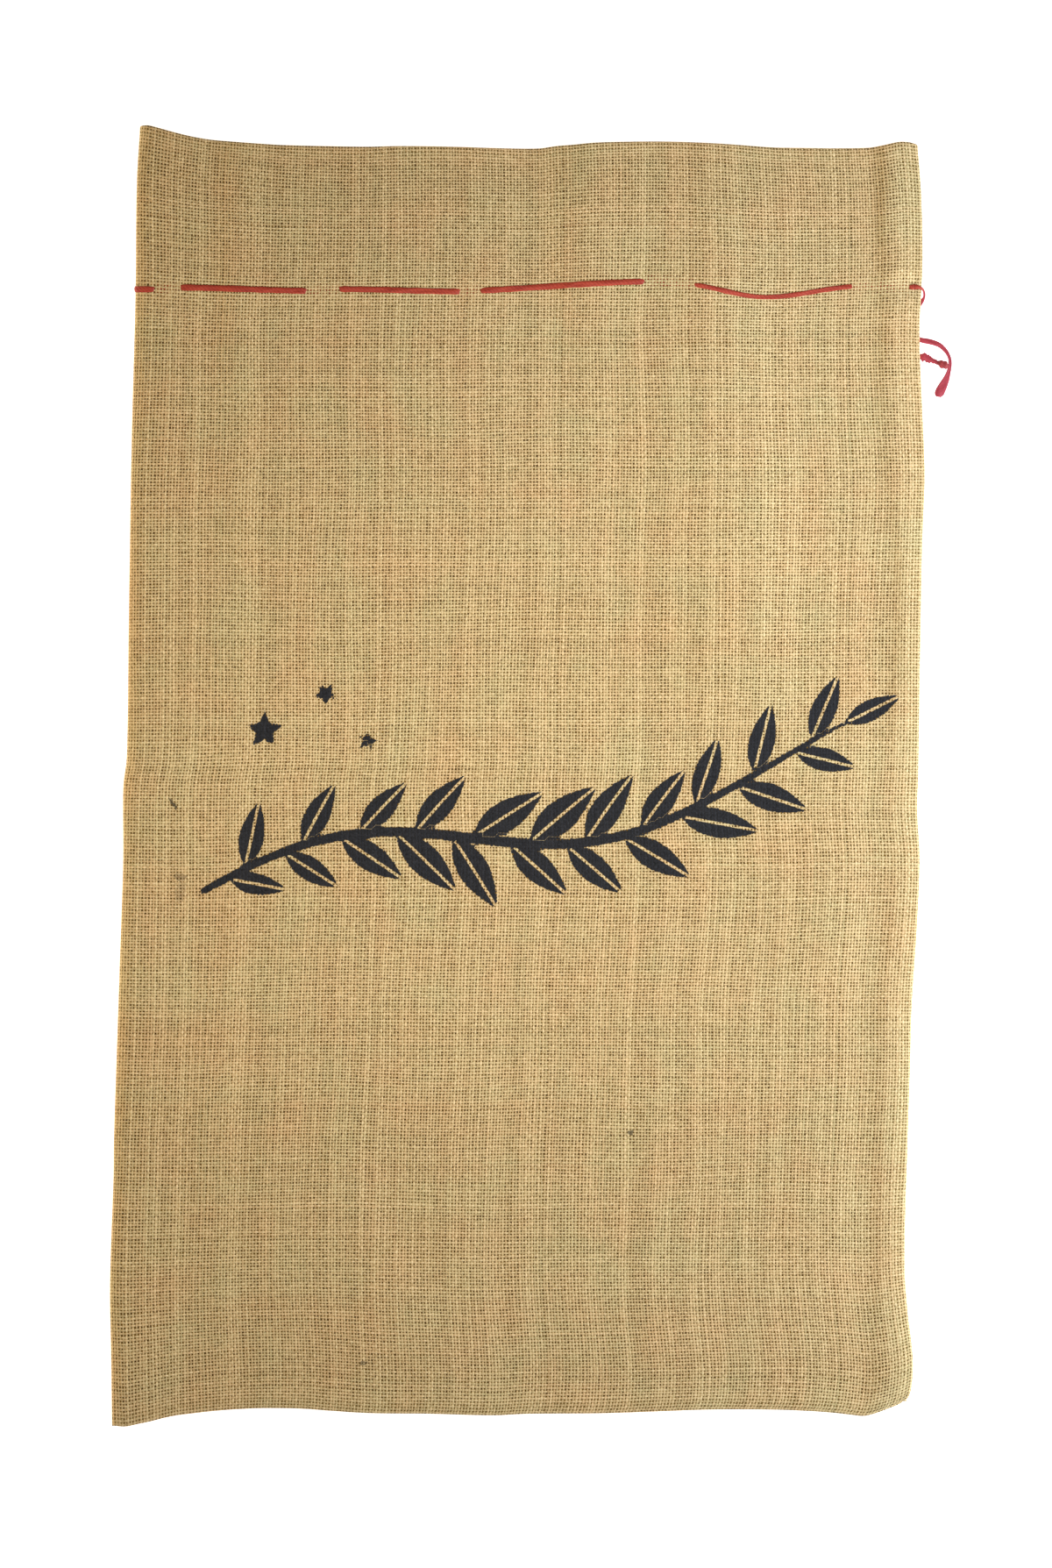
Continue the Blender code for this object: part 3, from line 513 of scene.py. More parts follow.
def distances(points):
    """How far along a route each of its points is."""
    return np.concatenate([[0.0], np.cumsum(np.linalg.norm(np.diff(points, axis=0), axis=1))])


def ahead(points):
    """The way from the point before to the point after each of a route's points."""
    place = np.arange(len(points))
    return points[np.minimum(place + 1, place[-1])] - points[np.maximum(place - 1, 0)]


def finer(points, values, step):
    """A route of (points, other values for each) with points every step millimetres, on a smooth curve."""
    points, values = np.array(points, float), np.array(values, float)
    at = distances(points)
    wanted = np.linspace(0, at[-1], max(2, round(at[-1] / step) + 1))
    out = [along_table(list(zip(at, column)), wanted) for column in np.hstack([points, values]).T]
    out = np.array(out).T
    return out[:, :3], out[:, 3:]


PROFILE = np.array([-1.0, -0.8, -0.55, -0.28, 0.0, 0.28, 0.55, 0.8, 1.0])


def ribbon_mesh(name, points, ways, widths, seed, loft=0.5, crease=0.22, ragged=0.0):
    """A soft flat ribbon round a route: its upper face is crowned and lengthwise creases wander over it.
    ragged says how far its sides fray at each point."""
    run, tangent = distances(points), unit(ahead(points))
    across = unit(ways - tangent * np.sum(ways * tangent, axis=1, keepdims=True))
    out = unit(np.cross(tangent, across))
    down = (out[:, 2] < 0) | ((np.abs(out[:, 2]) < 0.2) & (out[:, 0] < 0))
    out[down] = -out[down]

    wander = uneven(run, 0.0, 9.0, 1.0, seed)[:, None]
    swell = 1.0 + 0.06 * uneven(run, 7.0, 6.0, 1.0, seed + 1)
    left, right = (uneven(run, 30.0 * k, 0.9, 1.0, seed + 2)[:, None] for k in (1, 2))
    fray = np.reshape(ragged, (-1, 1)) * np.where(PROFILE < 0, left, right) * PROFILE**2
    offset = PROFILE * np.minimum((0.5 * widths * swell)[:, None] * (1 + fray), WIDEST)
    crown = loft * np.sqrt(np.maximum(0.0, 1 - PROFILE**2))
    crown = crown + crease * np.sin(3.1 * PROFILE + 2.6 * wander) * (1 - PROFILE**4)
    under = 0.5 * RIBBON_THICKNESS * (1 - PROFILE[::-1] ** 4) + 0.02

    middle, across, out = points[:, None], across[:, None], out[:, None]
    upper = middle + offset[..., None] * across + crown[..., None] * out
    lower = middle + offset[:, ::-1, None] * across - under[:, None] * out
    places = np.concatenate([PROFILE, 2 + PROFILE]) * 0.5 * widths[:, None]
    coords = np.stack([places, np.broadcast_to(run[:, None], places.shape)], -1)
    return tube(name, np.concatenate([upper, lower], axis=1), coords)


def strand(name, guided, free, seed, first_widths=(), ragged=0.0):
    """A free end: its piece, its route and how long it is. guided rows say which way the width lies."""
    points = np.array([row[:3] for row in (*guided, *free)])
    sideways = ahead(points)[len(guided) :, [1, 0, 2]] * [-1, 1, 0]
    ways = unit(np.vstack([[row[3:] for row in guided], sideways]))
    plain = [RIBBON_WIDTH] * (len(guided) - len(first_widths))
    widths = [*first_widths, *plain, *(row[3] * TAIL_SLIM for row in free)]
    fine, rest = finer(points, np.column_stack([ways, widths]), FRAYED_STEP if ragged else STRAND_STEP)
    frayed = ragged * smooth((np.arange(len(fine)) / len(fine) - 0.7) / 0.1)
    item = ribbon_mesh(name, fine, rest[:, :3], rest[:, 3], seed, loft=0.35, crease=0.25, ragged=frayed)
    return item, fine, float(distances(fine)[-1])


tie_long, long_route, long_length = strand("tie_long", OVER_THE_EDGE, LONG_END, 31, CURL_WIDTHS)
tie_short, short_route, short_length = strand("tie_short", UNDER_THE_EDGE, SHORT_END, 41, ragged=0.4)


def knot_mesh():
    """A small tight knot: a lump with the ribbon's turns wound round it."""
    rings, around = 46, 28
    polar = math.pi * (np.arange(rings)[:, None] + 0.5) / rings
    turn = 2 * math.pi * np.arange(around) / around
    wound = np.sin(6.0 * polar + turn + 0.6 * np.sin(2 * turn))
    size = 1.0 + 0.10 * wound + 0.05 * np.sin(5 * turn + 7 * polar)
    x = KNOT_RADII[0] * np.cos(polar) * size
    y = KNOT_RADII[1] * np.sin(polar) * np.cos(turn) * size
    z = KNOT_RADII[2] * np.sin(polar) * np.sin(turn) * size
    points = np.stack([*turned(x, y, KNOT_TURN), z], -1) + KNOT_CENTRE
    along = 0.2 * (np.arange(rings)[:, None] + np.arange(around))
    side = np.broadcast_to(3.0 * np.sin(0.5 * turn), along.shape)
    return tube("tie_knot_wound", points, np.stack([side, along], -1))


knot = knot_mesh()

# ---- cloth
front, front_coords = ply("burlap_front", FRONT_STEP, True)
back, back_coords = ply("burlap_back", BACK_STEP, False)


def inside_mesh():
    """The inner faces of both plies, down to the foot seam's allowances."""
    rows, coords = [], []
    columns = round(WIDTH / INSIDE_STEP)
    top = LENGTH / 2 - HEM_DEPTH + 2.0
    bottom = -LENGTH / 2 + FOOT_SEAM
    count = round((top - bottom) / INSIDE_STEP)
    for i in range(count + 1):
        along = top + (bottom - top) * i / count
        across = np.linspace(-WIDTH / 2 + 4.5, WIDTH / 2 - SIDE_SEAM, columns)
        upper, lower = ply_faces(across, along, CLOTH)
        if i == count:
            middle = 0.5 * (upper + lower)
            upper, lower = middle + [0, 0, 0.3], middle - [0, 0, 0.3]
        rows.append(np.vstack([upper, lower[::-1]]))
        u = np.concatenate([across, across[::-1] + 2 * WIDTH])
        coords.append(np.stack([u, np.full_like(u, along)], -1))
    faces = grid_faces(count + 1, 2 * columns, closed=True)
    return mesh_piece("burlap_inside", rows, faces, "weave", coords)


inside = inside_mesh()


# ---- the ribbon that the cloth holds
def from_pass(x, passes):
    """How far each x is from the nearest pass."""
    return np.min(np.abs(x[:, None] - np.array(passes)), axis=1)


def ribbon_height(side, x, y):
    """The height of the ribbon's middle on one side of a ply."""
    stand_off = GAP + 0.5 * RIBBON_THICKNESS
    across, along = on_cloth(x, y)
    if side == "front outside":
        return front_top(across, along) + 0.35 - 0.5 * (1 - smooth(from_pass(x, FRONT_PASSES) / 5.0))
    if side == "front inside":
        return front_top(across, along) - CLOTH - stand_off
    if side == "back inside":
        return back_height(across, along) + back_relief(across, along) + CLOTH + stand_off
    return np.full_like(x, TABLE_GAP + 0.5 * RIBBON_THICKNESS)


def run_points(side, start, end, line):
    """One run between two passes, on one side of a ply."""
    direction = 1 if end > start else -1
    low, high = start + direction * 1.7, end - direction * 1.7
    xs = np.linspace(low, high, max(3, round(abs(high - low) / 3.0) + 1))
    ys = line(xs)
    return np.stack([xs, ys, ribbon_height(side, xs, ys)], -1)


def pass_points(before, after, x):
    """The way through a ply, from one run's last point to the next one's first."""
    y = 0.5 * (before[1] + after[1])
    near = 0.7 if after[0] > before[0] else -0.7
    drop = 1.0 if after[2] > before[2] else -1.0
    steps = ((-1, before[2] + 0.12 * drop), (-0.25, before[2] + 0.55 * drop))
    steps += ((0.25, after[2] - 0.55 * drop), (1, after[2] - 0.12 * drop))
    return np.array([(x + share * near, y, z) for share, z in steps])


def front_line(x):
    return along_table(FRONT_LINE, x)


def back_line(x):
    return np.full_like(x, BACK_LINE)


def round_the_fold():
    """The drawstring's way round the folded edge, just outside the cloth."""
    x = in_plan(-WIDTH / 2 + 3.0, BACK_LINE)[0]
    low = float(back_height(-WIDTH / 2, BACK_LINE)) - 2 * GAP
    high = float(front_top(-WIDTH / 2 + 3.0, BACK_LINE)) + 2 * GAP
    middle, tall, wide = 0.5 * (low + high), 0.5 * (high - low), 3.0 + 2 * GAP
    angles = np.radians([250, 225, 200, 180, 160, 135, 110])
    line = np.linspace(BACK_LINE, float(front_line(x)), 7)
    return np.stack([x + wide * np.cos(angles), line, middle + tall * np.sin(angles)], -1)


def held_route():
    """The drawstring's way: through the back ply, round the fold, through the front ply to the seam."""
    fold_x = float(in_plan(-WIDTH / 2 + 0.5 * FOLD_EDGE_HEIGHT, BACK_LINE)[0])
    seam_face = float(in_plan(WIDTH / 2 - SIDE_SEAM, BACK_LINE)[0])
    last = FRONT_PASSES[-1]
    route = [np.array([HELD_START])]

    def go_on(points, through=None):
        if through is not None:
            route.append(pass_points(route[-1][-1], points[0], through))
        route.append(points)

    ways = [([*BACK_PASSES, fold_x], ("back inside", "back outside"), back_line)]
    ways.append(([fold_x, *FRONT_PASSES[:-1]], ("front outside", "front inside"), front_line))
    for stops, sides, line in ways:
        for i, (start, end) in enumerate(zip(stops, stops[1:])):
            if start == fold_x:
                go_on(round_the_fold())
            points = run_points(sides[i % 2], start, end, line)
            go_on(points, None if start == fold_x else start)
    before = FRONT_PASSES[-2]
    go_on(run_points("front inside", before, seam_face - 2.5, front_line), before)
    under_seam = (seam_face - 1.2, last - 3.4, last - 1.8)
    go_on(np.array([(x, float(front_line(last)), TUNNEL_MIDDLE) for x in under_seam]))
    go_on(np.array([HELD_END]), last)
    return np.vstack(route)


def held_ribbon():
    """The drawstring, narrower at each pass and a little uneven."""
    held = held_route()
    fine, rest = finer(held, np.full((len(held), 1), RIBBON_WIDTH), HELD_STEP)
    x = fine[:, 0]
    on_front = fine[:, 2] > LOWEST_ON_FRONT
    to_pass = np.where(on_front, from_pass(x, FRONT_PASSES), from_pass(x, BACK_PASSES))
    width = 0.86 + 0.14 * smooth(to_pass / 4.0) + 0.06 * uneven(x, fine[:, 2], 8, 8, 17)
    width += 0.18 * on_front * smooth((x - FRONT_PASSES[-1] + 0.3) / 2.0)
    width += 0.24 * on_front * (1 - smooth((x - FRONT_PASSES[6]) / 30.0))  # it lies flatter on the left
    ways = np.tile([0.0, 1.0, 0.0], (len(fine), 1))
    return ribbon_mesh("drawstring", fine, ways, RIBBON_WIDTH * width, 11)


ribbon = held_ribbon()


def behind(across, along):
    """Where the drawstring lies behind the front ply and shows red between the yarns."""
    x, y = in_plan(across, along)
    off = np.abs(y - front_line(x))
    hidden = np.zeros_like(off)
    for start, end in zip(FRONT_PASSES[::2], FRONT_PASSES[1::2]):
        hidden = np.maximum(hidden, smooth((x - start + 1.0) / 3.0) * smooth((end - x + 1.0) / 3.0))
    return hidden * (0.9 - 0.9 * smooth((off - 1.4) / 3.4))


set_values(front, "outside", np.ones(len(front.data.vertices)))
set_values(front, "behind", behind(*front_coords.T))


# ---- the print: a leafy spray with stars
def capsule(x, y, start, end, start_radius, end_radius):
    """How deep inside a tapered stroke each point is."""
    run = np.subtract(end, start)
    t = np.clip(((x - start[0]) * run[0] + (y - start[1]) * run[1]) / np.dot(run, run), 0.0, 1.0)
    off = np.hypot(x - start[0] - run[0] * t, y - start[1] - run[1] * t)
    return start_radius + (end_radius - start_radius) * t - off


def leaf(x, y, base, tip, width):
    """How deep inside a pointed leaf each point is, and on which side of its midrib, how far."""
    run = np.subtract(tip, base)
    length = math.hypot(*run)
    ahead = ((x - base[0]) * run[0] + (y - base[1]) * run[1]) / length
    side = (-(x - base[0]) * run[1] + (y - base[1]) * run[0]) / length
    share = np.clip(ahead / length, 0.0, 1.0)
    half = 0.5 * width * np.sin(math.pi * share**0.82) ** 0.85
    past = np.maximum(np.maximum(-ahead, ahead - length), 0.0)
    return half - np.hypot(side, past), side


def star(x, y, centre, outer, inner, turn):
    """How deep inside a five-pointed star each point is."""
    angle = np.arctan2(y - centre[1], x - centre[0]) - turn
    angle = np.abs((angle + math.pi / 5) % (2 * math.pi / 5) - math.pi / 5)
    off = np.hypot(x - centre[0], y - centre[1])
    edge_x, edge_y = inner * math.cos(math.pi / 5) - outer, inner * math.sin(math.pi / 5)
    inward = (outer - off * np.cos(angle)) * edge_y + off * np.sin(angle) * edge_x
    return inward / math.hypot(edge_x, edge_y)


SPRAY_START, SPRAY_END = (-238.0, -96.0), (246.0, 22.0)
SPRAY_WAVE = 26.0
STEM = 3.9  # half of its thickest width
LEAVES, LEAF_SIZE = 11, 60.0
STARS = [((-196, 34), 15, 0.31), ((-150, 62), 10, 0.9), ((-118, 26), 8, 0.1)]  # centre, size, turn
NO_INK, NO_RIB = -40.0, 40.0


def spray_line(t):
    x = SPRAY_START[0] + (SPRAY_END[0] - SPRAY_START[0]) * t
    y = SPRAY_START[1] + (SPRAY_END[1] - SPRAY_START[1]) * t + SPRAY_WAVE * np.sin(2.15 * math.pi * t + 0.35)
    return x, y


def spray_leaves():
    """Each leaf's base, tip and width: pairs along the stem, and one at its end."""
    for i in range(LEAVES):
        t = 0.05 + 0.88 * i / (LEAVES - 1)
        base = np.array(spray_line(t))
        run = unit(np.array(spray_line(t + 0.01)) - base)
        for side in (1, -1):
            way = np.array(turned(*run, side * math.radians(44 + 7 * math.sin(2.3 * i + side))))
            size = LEAF_SIZE * (0.62 + 0.38 * math.sin(math.pi * (0.1 + 0.8 * t)))
            size *= 1 + 0.08 * math.sin(5.1 * i + side)
            root = base + run * (6.0 if side > 0 else -9.0)
            yield root + way * 3.0, root + way * (3.0 + size), 0.37 * size
    end = np.array(spray_line(1.0))
    way = unit(end - np.array(spray_line(0.985)))
    yield end - way * 2, end + way * 44, 16.0


def print_depth(x, y):
    """How deep inside the print each point of the cloth is, and the leaves' midribs."""
    depth = np.full(np.shape(x), NO_INK)
    rib = np.full(np.shape(x), NO_RIB)
    steps = np.linspace(0, 1, 60)
    thick = [STEM * (0.35 + 0.65 * math.sin(math.pi * min(1.0, 0.12 + 0.9 * t)) ** 0.7) for t in steps]
    for i, (a, b) in enumerate(zip(steps, steps[1:])):
        depth = np.maximum(depth, capsule(x, y, spray_line(a), spray_line(b), *thick[i : i + 2]))
    for base, tip, width in spray_leaves():
        inside_leaf, across_leaf = leaf(x, y, base, tip, width)
        rib = np.where(inside_leaf > depth, across_leaf, rib)
        depth = np.maximum(depth, inside_leaf)
    for centre, size, turn in STARS:
        depth = np.maximum(depth, star(x, y, centre, size, size * 0.45, turn))
    return depth, rib


for name, values in zip(("ink", "rib"), print_depth(*front_coords.T)):
    set_values(front, name, values)
for item in (back, inside):
    set_values(item, "ink", np.full(len(item.data.vertices), NO_INK))


def backing(coords):
    """Where cloth lies close behind the ply, so that the painted shade between its yarns is lighter."""
    across, along = coords[..., 0], coords[..., 1]
    hem = smooth((along - (LENGTH / 2 - HEM_DEPTH)) / 2.0)
    side = smooth((across - (WIDTH / 2 - SIDE_SEAM)) / 3.0)
    foot = smooth((-LENGTH / 2 + FOOT_SEAM - along) / 3.0)
    fold = 0.6 * smooth((-WIDTH / 2 + 6.0 - across) / 6.0)
    return np.maximum(np.maximum(hem, side), np.maximum(foot, fold))


# The back ply's painted gap shade is lighter everywhere.
set_values(front, "backing", backing(front_coords))
set_values(back, "backing", np.maximum(backing(back_coords), 0.4))


# ---- materials
def operator(operation):
    return lambda self, other: self.graph.math(operation, self, other)


class Value:
    """A socket that can be added, multiplied and so on, each step a Math node."""

    def __init__(self, graph, socket):
        self.graph, self.socket = graph, socket

    def __rsub__(self, other):
        return self.graph.math("SUBTRACT", other, self)

    __add__ = __radd__ = operator("ADD")
    __mul__ = __rmul__ = operator("MULTIPLY")
    __sub__, __truediv__ = operator("SUBTRACT"), operator("DIVIDE")


def function(operation):
    return lambda self, a, b=0.0: self.math(operation, a, b)


class Graph:
    """Builds a material's node tree from expressions."""

    floor, absolute, cosine = function("FLOOR"), function("ABSOLUTE"), function("COSINE")
    largest = function("MAXIMUM")

    def __init__(self, name):
        self.material = bpy.data.materials.new(name)
        self.material.use_nodes = True
        self.tree = self.material.node_tree
        self.shader = self.tree.nodes["Principled BSDF"]

    def put(self, socket, value):
        if isinstance(value, Value):
            self.tree.links.new(value.socket, socket)
        else:
            socket.default_value = value

    def node(self, kind, inputs=(), **settings):
        made = self.tree.nodes.new(kind)
        for name, value in settings.items():
            setattr(made, name, value)
        for name, value in dict(inputs).items():
            self.put(made.inputs[name], value)
        return made

    def value(self, output, kind, inputs=(), **settings):
        """One output of a new node."""
        return Value(self, self.node(kind, inputs, **settings).outputs[output])

    def math(self, operation, a, b=0.0, clamp=False):
        return self.value(0, "ShaderNodeMath", {0: a, 1: b}, operation=operation, use_clamp=clamp)

    def clamp(self, a):
        return self.math("ADD", a, 0.0, clamp=True)

    def step(self, value, low, high):
        """0 below low, 1 above high, and a smooth rise between them."""
        inputs = {"Value": value, "From Min": low, "From Max": high}
        return self.value("Result", "ShaderNodeMapRange", inputs, interpolation_type="SMOOTHSTEP")

    def blend(self, share, a, b):
        """a where share is 0, b where it is 1."""
        return a + share * (b - a)

    def uv(self, name):
        coords = self.value("UV", "ShaderNodeUVMap", uv_map=name)
        split = self.node("ShaderNodeSeparateXYZ", {"Vector": coords})
        return Value(self, split.outputs["X"]), Value(self, split.outputs["Y"])

    def vector(self, x, y, z=0.0):
        return self.value("Vector", "ShaderNodeCombineXYZ", {"X": x, "Y": y, "Z": z})

    def attribute(self, name):
        return self.value("Fac", "ShaderNodeAttribute", attribute_name=name)

    def about_zero(self, made):
        """A random colour's red and green, moved to lie from -0.5 to 0.5."""
        split = self.node("ShaderNodeSeparateColor", {"Color": Value(self, made.outputs["Color"])})
        return Value(self, split.outputs["Red"]) - 0.5, Value(self, split.outputs["Green"]) - 0.5

    def noise_node(self, x, y, detail):
        inputs = {"Vector": self.vector(x, y), "Scale": 1.0, "Detail": detail}
        return self.node("ShaderNodeTexNoise", inputs, noise_dimensions="2D")

    def noise(self, x, y, detail=0.0):
        """Two smooth random values."""
        return self.about_zero(self.noise_node(x, y, detail))

    def one_noise(self, x, y):
        return Value(self, self.noise_node(x, y, 0.0).outputs["Fac"]) - 0.5

    def random(self, number):
        """Two values for each whole number."""
        return self.about_zero(self.node("ShaderNodeTexWhiteNoise", {"W": number}, noise_dimensions="1D"))

    def random_cell(self, x, y):
        """Two values for each pair of whole numbers."""
        inputs = {"Vector": self.vector(x, y)}
        return self.about_zero(self.node("ShaderNodeTexWhiteNoise", inputs, noise_dimensions="2D"))

    def mix(self, share, a, b):
        """A colour between a and b."""
        a, b = (colour if isinstance(colour, Value) else (*colour, 1.0) for colour in (a, b))
        return self.value(2, "ShaderNodeMix", {0: share, 6: a, 7: b}, data_type="RGBA")

    def scaled(self, colour, factor):
        inputs = {0: colour, "Scale": factor}
        return self.value("Vector", "ShaderNodeVectorMath", inputs, operation="SCALE")

    def bump(self, height, distance):
        inputs = {"Height": height, "Distance": distance, "Strength": 1.0}
        return self.value("Normal", "ShaderNodeBump", inputs)

    def finished(self, inputs):
        """The material, once its shader's inputs are set."""
        for name, value in inputs.items():
            self.put(self.shader.inputs[name], value)
        return self.material


# Small stains on the front: (x, y, length, width, turn in degrees, how dark).
STAINS = [
    (-259.5, -21.6, 9.5, 2.4, -54, 0.85), (-254.0, -77.0, 9.0, 5.5, -8, 0.42),
    (-254.5, -88.0, 15.0, 7.0, 82, 0.24), (-116.1, -445.4, 5.5, 2.6, 12, 0.6),
    (86.8, -270.4, 4.6, 3.4, 30, 0.75),
]
STAIN = (0.050, 0.040, 0.022)
YARN_WARM = (0.65, 0.42, 0.19)
YARN_KHAKI = (0.585, 0.465, 0.215)
# Pale yarn, mixed in where the tone runs light and as a painted highlight on the yarns' tops.
YARN_PALE_AND_HIGHLIT = (0.585, 0.46, 0.262)
YARN_TOP_LIT_GAIN = 1.255  # the yarns' tops are painted this much lighter than the blend of these
YARN_SHADED_SIDE = (0.285, 0.156, 0.020)  # painted shade on the yarns' sides, down in the weave
GAP_DEPTH = -0.8  # where a yarn's top is about 1
# Painted shade in the gaps between the yarns: darker and paler at random, and lighter where cloth lies close
# behind.
GAP_SHADE_DARK = (0.092, 0.043, 0.005)
GAP_SHADE_PALE = (0.20, 0.107, 0.013)
GAP_SHADE_BACKED = (0.22, 0.135, 0.032)
RIBBON_BEHIND = (0.42, 0.045, 0.025)
INK = (0.022, 0.022, 0.0235)


def burlap_material():
    """Plain weave: round yarns of uneven thickness over and under one another, with gaps between. The gaps
    and the yarns' sides hold painted shade, and the yarns' tops a painted highlight.
    """
    g = Graph("burlap_weave")
    u, v = g.uv("weave")
    columns, rows = u / (WARP_PITCH * MM) + 400.0, v / (WEFT_PITCH * MM) + 600.0
    drift_x, drift_y = g.noise(columns * 0.02, rows * 0.02)
    crowd_x = g.one_noise(columns * 0.10, rows * 0.018 + 40.0)
    crowd_y = g.one_noise(columns * 0.018 + 80.0, rows * 0.10)
    columns = columns + drift_x * 1.2 + crowd_x * 0.9
    rows = rows + drift_y * 1.2 + crowd_y * 0.9
    column, row = g.floor(columns), g.floor(rows)
    warp_tone, warp_hue = g.random(column)
    weft_tone, weft_hue = g.random(row + 5000.0)
    ripple, speck = g.noise(columns * 1.3 + 31.0, rows * 1.3, detail=1.0)
    from_column = columns - column - 0.5 - warp_hue * 0.14 + ripple * 0.10
    from_row = rows - row - 0.5 - weft_hue * 0.12 + speck * 0.10

    warp_slub, warp_shade = g.noise(column * 5.17, rows * 0.24, detail=1.0)
    weft_slub, weft_shade = g.noise(columns * 0.24, row * 5.17 + 70.0, detail=1.0)
    open_gap, gap_tone = g.random_cell(g.floor(columns + 0.5), g.floor(rows + 0.5))
    warp_half = 0.387 + warp_slub * 0.14 + warp_tone * 0.09 + open_gap * 0.14
    weft_half = 0.382 + weft_slub * 0.14 + weft_tone * 0.06 + open_gap * 0.14

    warp_side = from_column / warp_half
    weft_side = from_row / weft_half
    warp_round = g.math("SQRT", g.largest(1.0 - warp_side * warp_side, 0.0))
    weft_round = g.math("SQRT", g.largest(1.0 - weft_side * weft_side, 0.0))
    warp_wave = g.cosine((rows - 0.5 + column) * math.pi)
    weft_wave = g.cosine((columns - 0.5 + row) * math.pi) * -1.0
    warp_there = g.step(g.absolute(warp_side), 1.14, 0.62)
    weft_there = g.step(g.absolute(weft_side), 1.14, 0.62)
    warp_height = g.blend(warp_there, GAP_DEPTH, warp_wave * 0.32 + warp_round * 0.62)
    weft_height = g.blend(weft_there, GAP_DEPTH, weft_wave * 0.32 + weft_round * 0.62)
    height = g.largest(warp_height, weft_height)
    on_warp = g.step(warp_height - weft_height, -0.08, 0.08)
    in_gap = (1.0 - warp_there) * (1.0 - weft_there)

    tone = g.blend(on_warp, weft_tone * 0.15, warp_tone * 0.24)
    tone = tone + g.blend(on_warp, weft_shade, warp_shade) * 0.36
    hue = g.blend(on_warp, weft_hue, warp_hue)
    fibre_u = g.blend(on_warp, columns * 0.9, columns * 6.0 + rows * 2.4)
    fibre_v = g.blend(on_warp, rows * 6.0 + columns * 2.4, rows * 0.9)
    fibre = g.one_noise(fibre_u, fibre_v)
    _, blush = g.noise(columns * 0.055, rows * 0.045, detail=3.0)

    warmth = hue * 0.4 + blush * 1.7 + speck * 0.3
    yarn = g.mix(g.clamp(0.5 + warmth), YARN_KHAKI, YARN_WARM)
    light = 1.0 + tone + fibre * 0.45 + ripple * 0.12
    # Random paleness, and a painted highlight where the yarn's top stands highest.
    pale_tone_and_highlight = g.clamp((light - 1.0) * 1.5 + g.step(height, 0.6, 0.98) * 0.5)
    yarn = g.mix(pale_tone_and_highlight, yarn, YARN_PALE_AND_HIGHLIT)
    # Painted shade: each yarn darkens down its sides and where it dips under another, and is painted lighter
    # on top.
    yarn = g.mix(g.step(height, -0.35, 0.98), YARN_SHADED_SIDE, g.scaled(yarn, YARN_TOP_LIT_GAIN))
    yarn = g.scaled(yarn, light)
    # The gaps hold painted shade. It is lighter where cloth lies close behind, and red where the drawstring
    # lies behind.
    gap = g.mix(g.clamp(gap_tone * 1.6 + 0.2), GAP_SHADE_DARK, GAP_SHADE_PALE)
    gap = g.mix(g.attribute("backing"), gap, GAP_SHADE_BACKED)
    gap = g.mix(g.attribute("behind"), gap, RIBBON_BEHIND)
    cloth = g.mix(in_gap, yarn, gap)

    soiled = 0.0
    for x, y, length, width, turn, dark in STAINS:
        across, along = (float(place) for place in on_cloth(x, y))
        ahead, aside = turned(u - across * MM, v - along * MM, -math.radians(turn))
        ahead, aside = ahead * (2 / (length * MM)), aside * (2 / (width * MM))
        spot = g.step(ahead * ahead + aside * aside + ripple * 3.5 - height * 0.5, 1.5, 0.2) * dark
        soiled = g.largest(soiled, spot)
    cloth = g.mix(soiled * g.attribute("outside"), cloth, STAIN)

    ragged = g.attribute("ink") + height * 0.55 - 0.3 + ripple * 1.6 + warp_slub * 0.8
    inked = g.step(ragged, -0.25, 0.25)
    ribbed = g.step(g.absolute(g.attribute("rib")) + ripple * 0.8, 0.7, 1.3)
    inked = inked * ribbed
    ink = g.scaled(g.vector(*INK), 1.0 + fibre * 0.9 + ripple * 0.9 + tone * 1.5)
    colour = g.mix(inked, cloth, ink)

    inputs = {"Base Color": colour, "Roughness": g.blend(inked, 0.92, 0.78) + fibre * 0.05}
    inputs |= {"Normal": g.bump(height, 0.00055), "Specular IOR Level": 0.10}
    return g.finished(inputs | {"Sheen Weight": 0.06, "Sheen Roughness": 0.6})


TWIST = 0.0031  # metres from one turn of the ribbon's twist to the next


def satin_material(name, dark, light, wound, at_start=None):
    """Satin in a loose twist, as strong as wound says, its colour painted from a shaded dark to a lit light.
    at_start has the two colours of a strand's start.
    """
    g = Graph(name)
    u, v = g.uv("satin")
    fold, shade = g.noise(u * 420.0, v * 60.0, detail=2.0)
    thread = g.one_noise(u * 5200.0 + v * 1500.0, v * 260.0)
    twist = g.cosine((u * 1.15 + v) * (2 * math.pi / TWIST) + shade * 5.0) * wound
    # Painted light and shade: the colour runs from dark to light over the folds, threads and twist.
    share = g.clamp(0.5 + fold * 1.1 + thread * 0.5 + twist * 0.2 + shade * 0.6)
    colour = g.mix(share, dark, light)
    if at_start:
        colour = g.mix(g.step(v, 0.005, 0.011), g.mix(share, *at_start), colour)
    normal = g.bump(thread * 0.5 + fold * 0.8 + twist * 0.55, 0.00016)
    inputs = {"Base Color": colour, "Roughness": 0.55 + thread * 0.25, "Normal": normal}
    return g.finished(
        inputs | {"Specular IOR Level": 0.35, "Sheen Weight": 0.05, "Sheen Roughness": 0.35}
    )


burlap = burlap_material()
# Each pair is a painted shaded and lit colour of the one red satin. The free ends are painted pinker and
# lighter, as lit.
BRICK = (0.30, 0.022, 0.010), (0.54, 0.070, 0.030)
PINK_LIT = (0.29, 0.015, 0.023), (0.55, 0.065, 0.085)
satin = satin_material("red_satin", *BRICK, 0.9)
tail_satin = satin_material("red_satin_tail", *PINK_LIT, 0.25, at_start=BRICK)
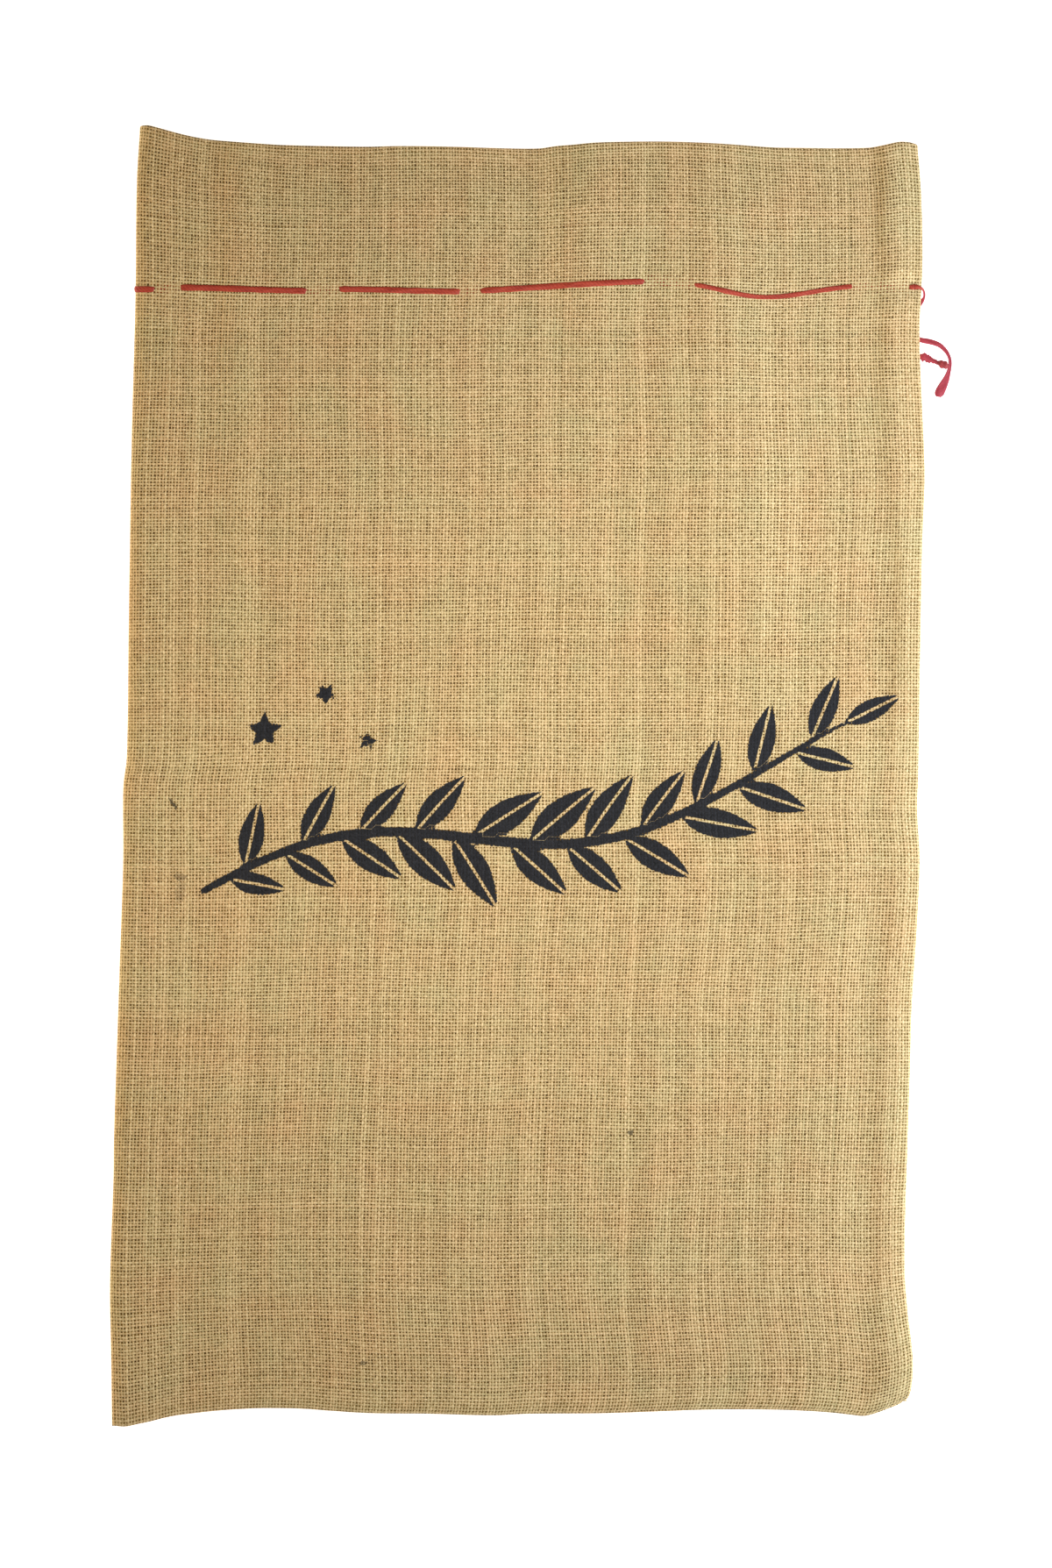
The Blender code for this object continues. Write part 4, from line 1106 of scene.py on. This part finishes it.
# The knot's satin is painted darker, as shaded in its tight turns.
knot_satin = satin_material("red_satin_knot_shaded", (0.22, 0.014, 0.012), (0.46, 0.055, 0.055), 0.0)
for item in (front, back, inside):
    item.data.materials.append(burlap)
    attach(item, "root")
for item in (ribbon, tie_long, tie_short, knot):
    item.data.materials.append({ribbon: satin, knot: knot_satin}.get(item, tail_satin))
    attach(item, "root")

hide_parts("burlap_body")
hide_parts("drawstring_ribbon")
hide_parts("tie_strand_long")
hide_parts("tie_strand_short")
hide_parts("tie_knot")
tuple(c * MM for c in OVER_THE_EDGE[0][:3])
long_length * MM
(long_route * MM).tolist()
tuple(c * MM for c in UNDER_THE_EDGE[0][:3])
short_length * MM
(short_route * MM).tolist()

# ---- floor, light, world
FLOOR_HALF, FLOOR_DEPTH, BACKDROP = 20.0, -0.0002, 1.7  # metres
corners = ((-1, -1), (1, -1), (1, 1), (-1, 1))
floor_points = [(x * FLOOR_HALF, y * FLOOR_HALF, z) for z in (FLOOR_DEPTH, BACKDROP) for x, y in corners]
floor_faces = [(0, 1, 2, 3)] + [(i, (i + 1) % 4, 4 + (i + 1) % 4, 4 + i) for i in range(4)]
floor_mesh = bpy.data.meshes.new("floor")
floor_mesh.from_pydata(floor_points, [], floor_faces)
floor = placed("floor", floor_mesh)
floor_look = {"Base Color": (0.93, 0.93, 0.93, 1), "Roughness": 0.9}
floor_look |= {"Emission Color": (1.0, 1.0, 1.0, 1), "Emission Strength": 0.9}
floor_mesh.materials.append(Graph("pale_floor").finished(floor_look))

COOL, WARM, NEUTRAL = (0.88, 1.0, 1.21), (1.18, 1.0, 0.80), (1.02, 1.0, 0.98)
# Each square light's place, the place it is aimed at, its size, its power and its colour.
LIGHTS = {
    "key": ((1.29, -0.32, 0.69), (0.0, 0.02, 0.0), 0.5, 21.3, COOL),
    "far side": ((-1.5, 0.05, 0.35), (0.0, 0.0, 0.0), 0.5, 8.6, WARM),
    "overhead": ((-0.04, -0.02, 0.51), (-0.04, -0.02, 0.0), 0.4, 1.08, NEUTRAL),
    "overhead right": ((0.24, 0.30, 0.37), (0.24, 0.30, 0.0), 0.25, 0.48, COOL),
}
for name, (place, aim, size, power, colour) in LIGHTS.items():
    light = bpy.data.lights.new(name, "AREA")
    light.shape = "RECTANGLE"
    light.size, light.size_y = size, size
    light.energy = power
    light.color = colour
    item = placed(name, light)
    item.location = place
    way = np.subtract(aim, place)
    yaw, pitch = math.atan2(way[1], way[0]), math.atan2(math.hypot(way[0], way[1]), -way[2])
    item.rotation_euler = (pitch, 0.0, yaw - math.pi / 2)
    item.visible_camera = False

world = bpy.data.worlds.new("world")
bpy.context.scene.world = world
world.use_nodes = True
background = world.node_tree.nodes["Background"]
background.inputs["Color"].default_value = (1.22, 1.0, 0.74, 1.0)
background.inputs["Strength"].default_value = 0.20
bpy.context.scene.view_settings.view_transform = "Standard"
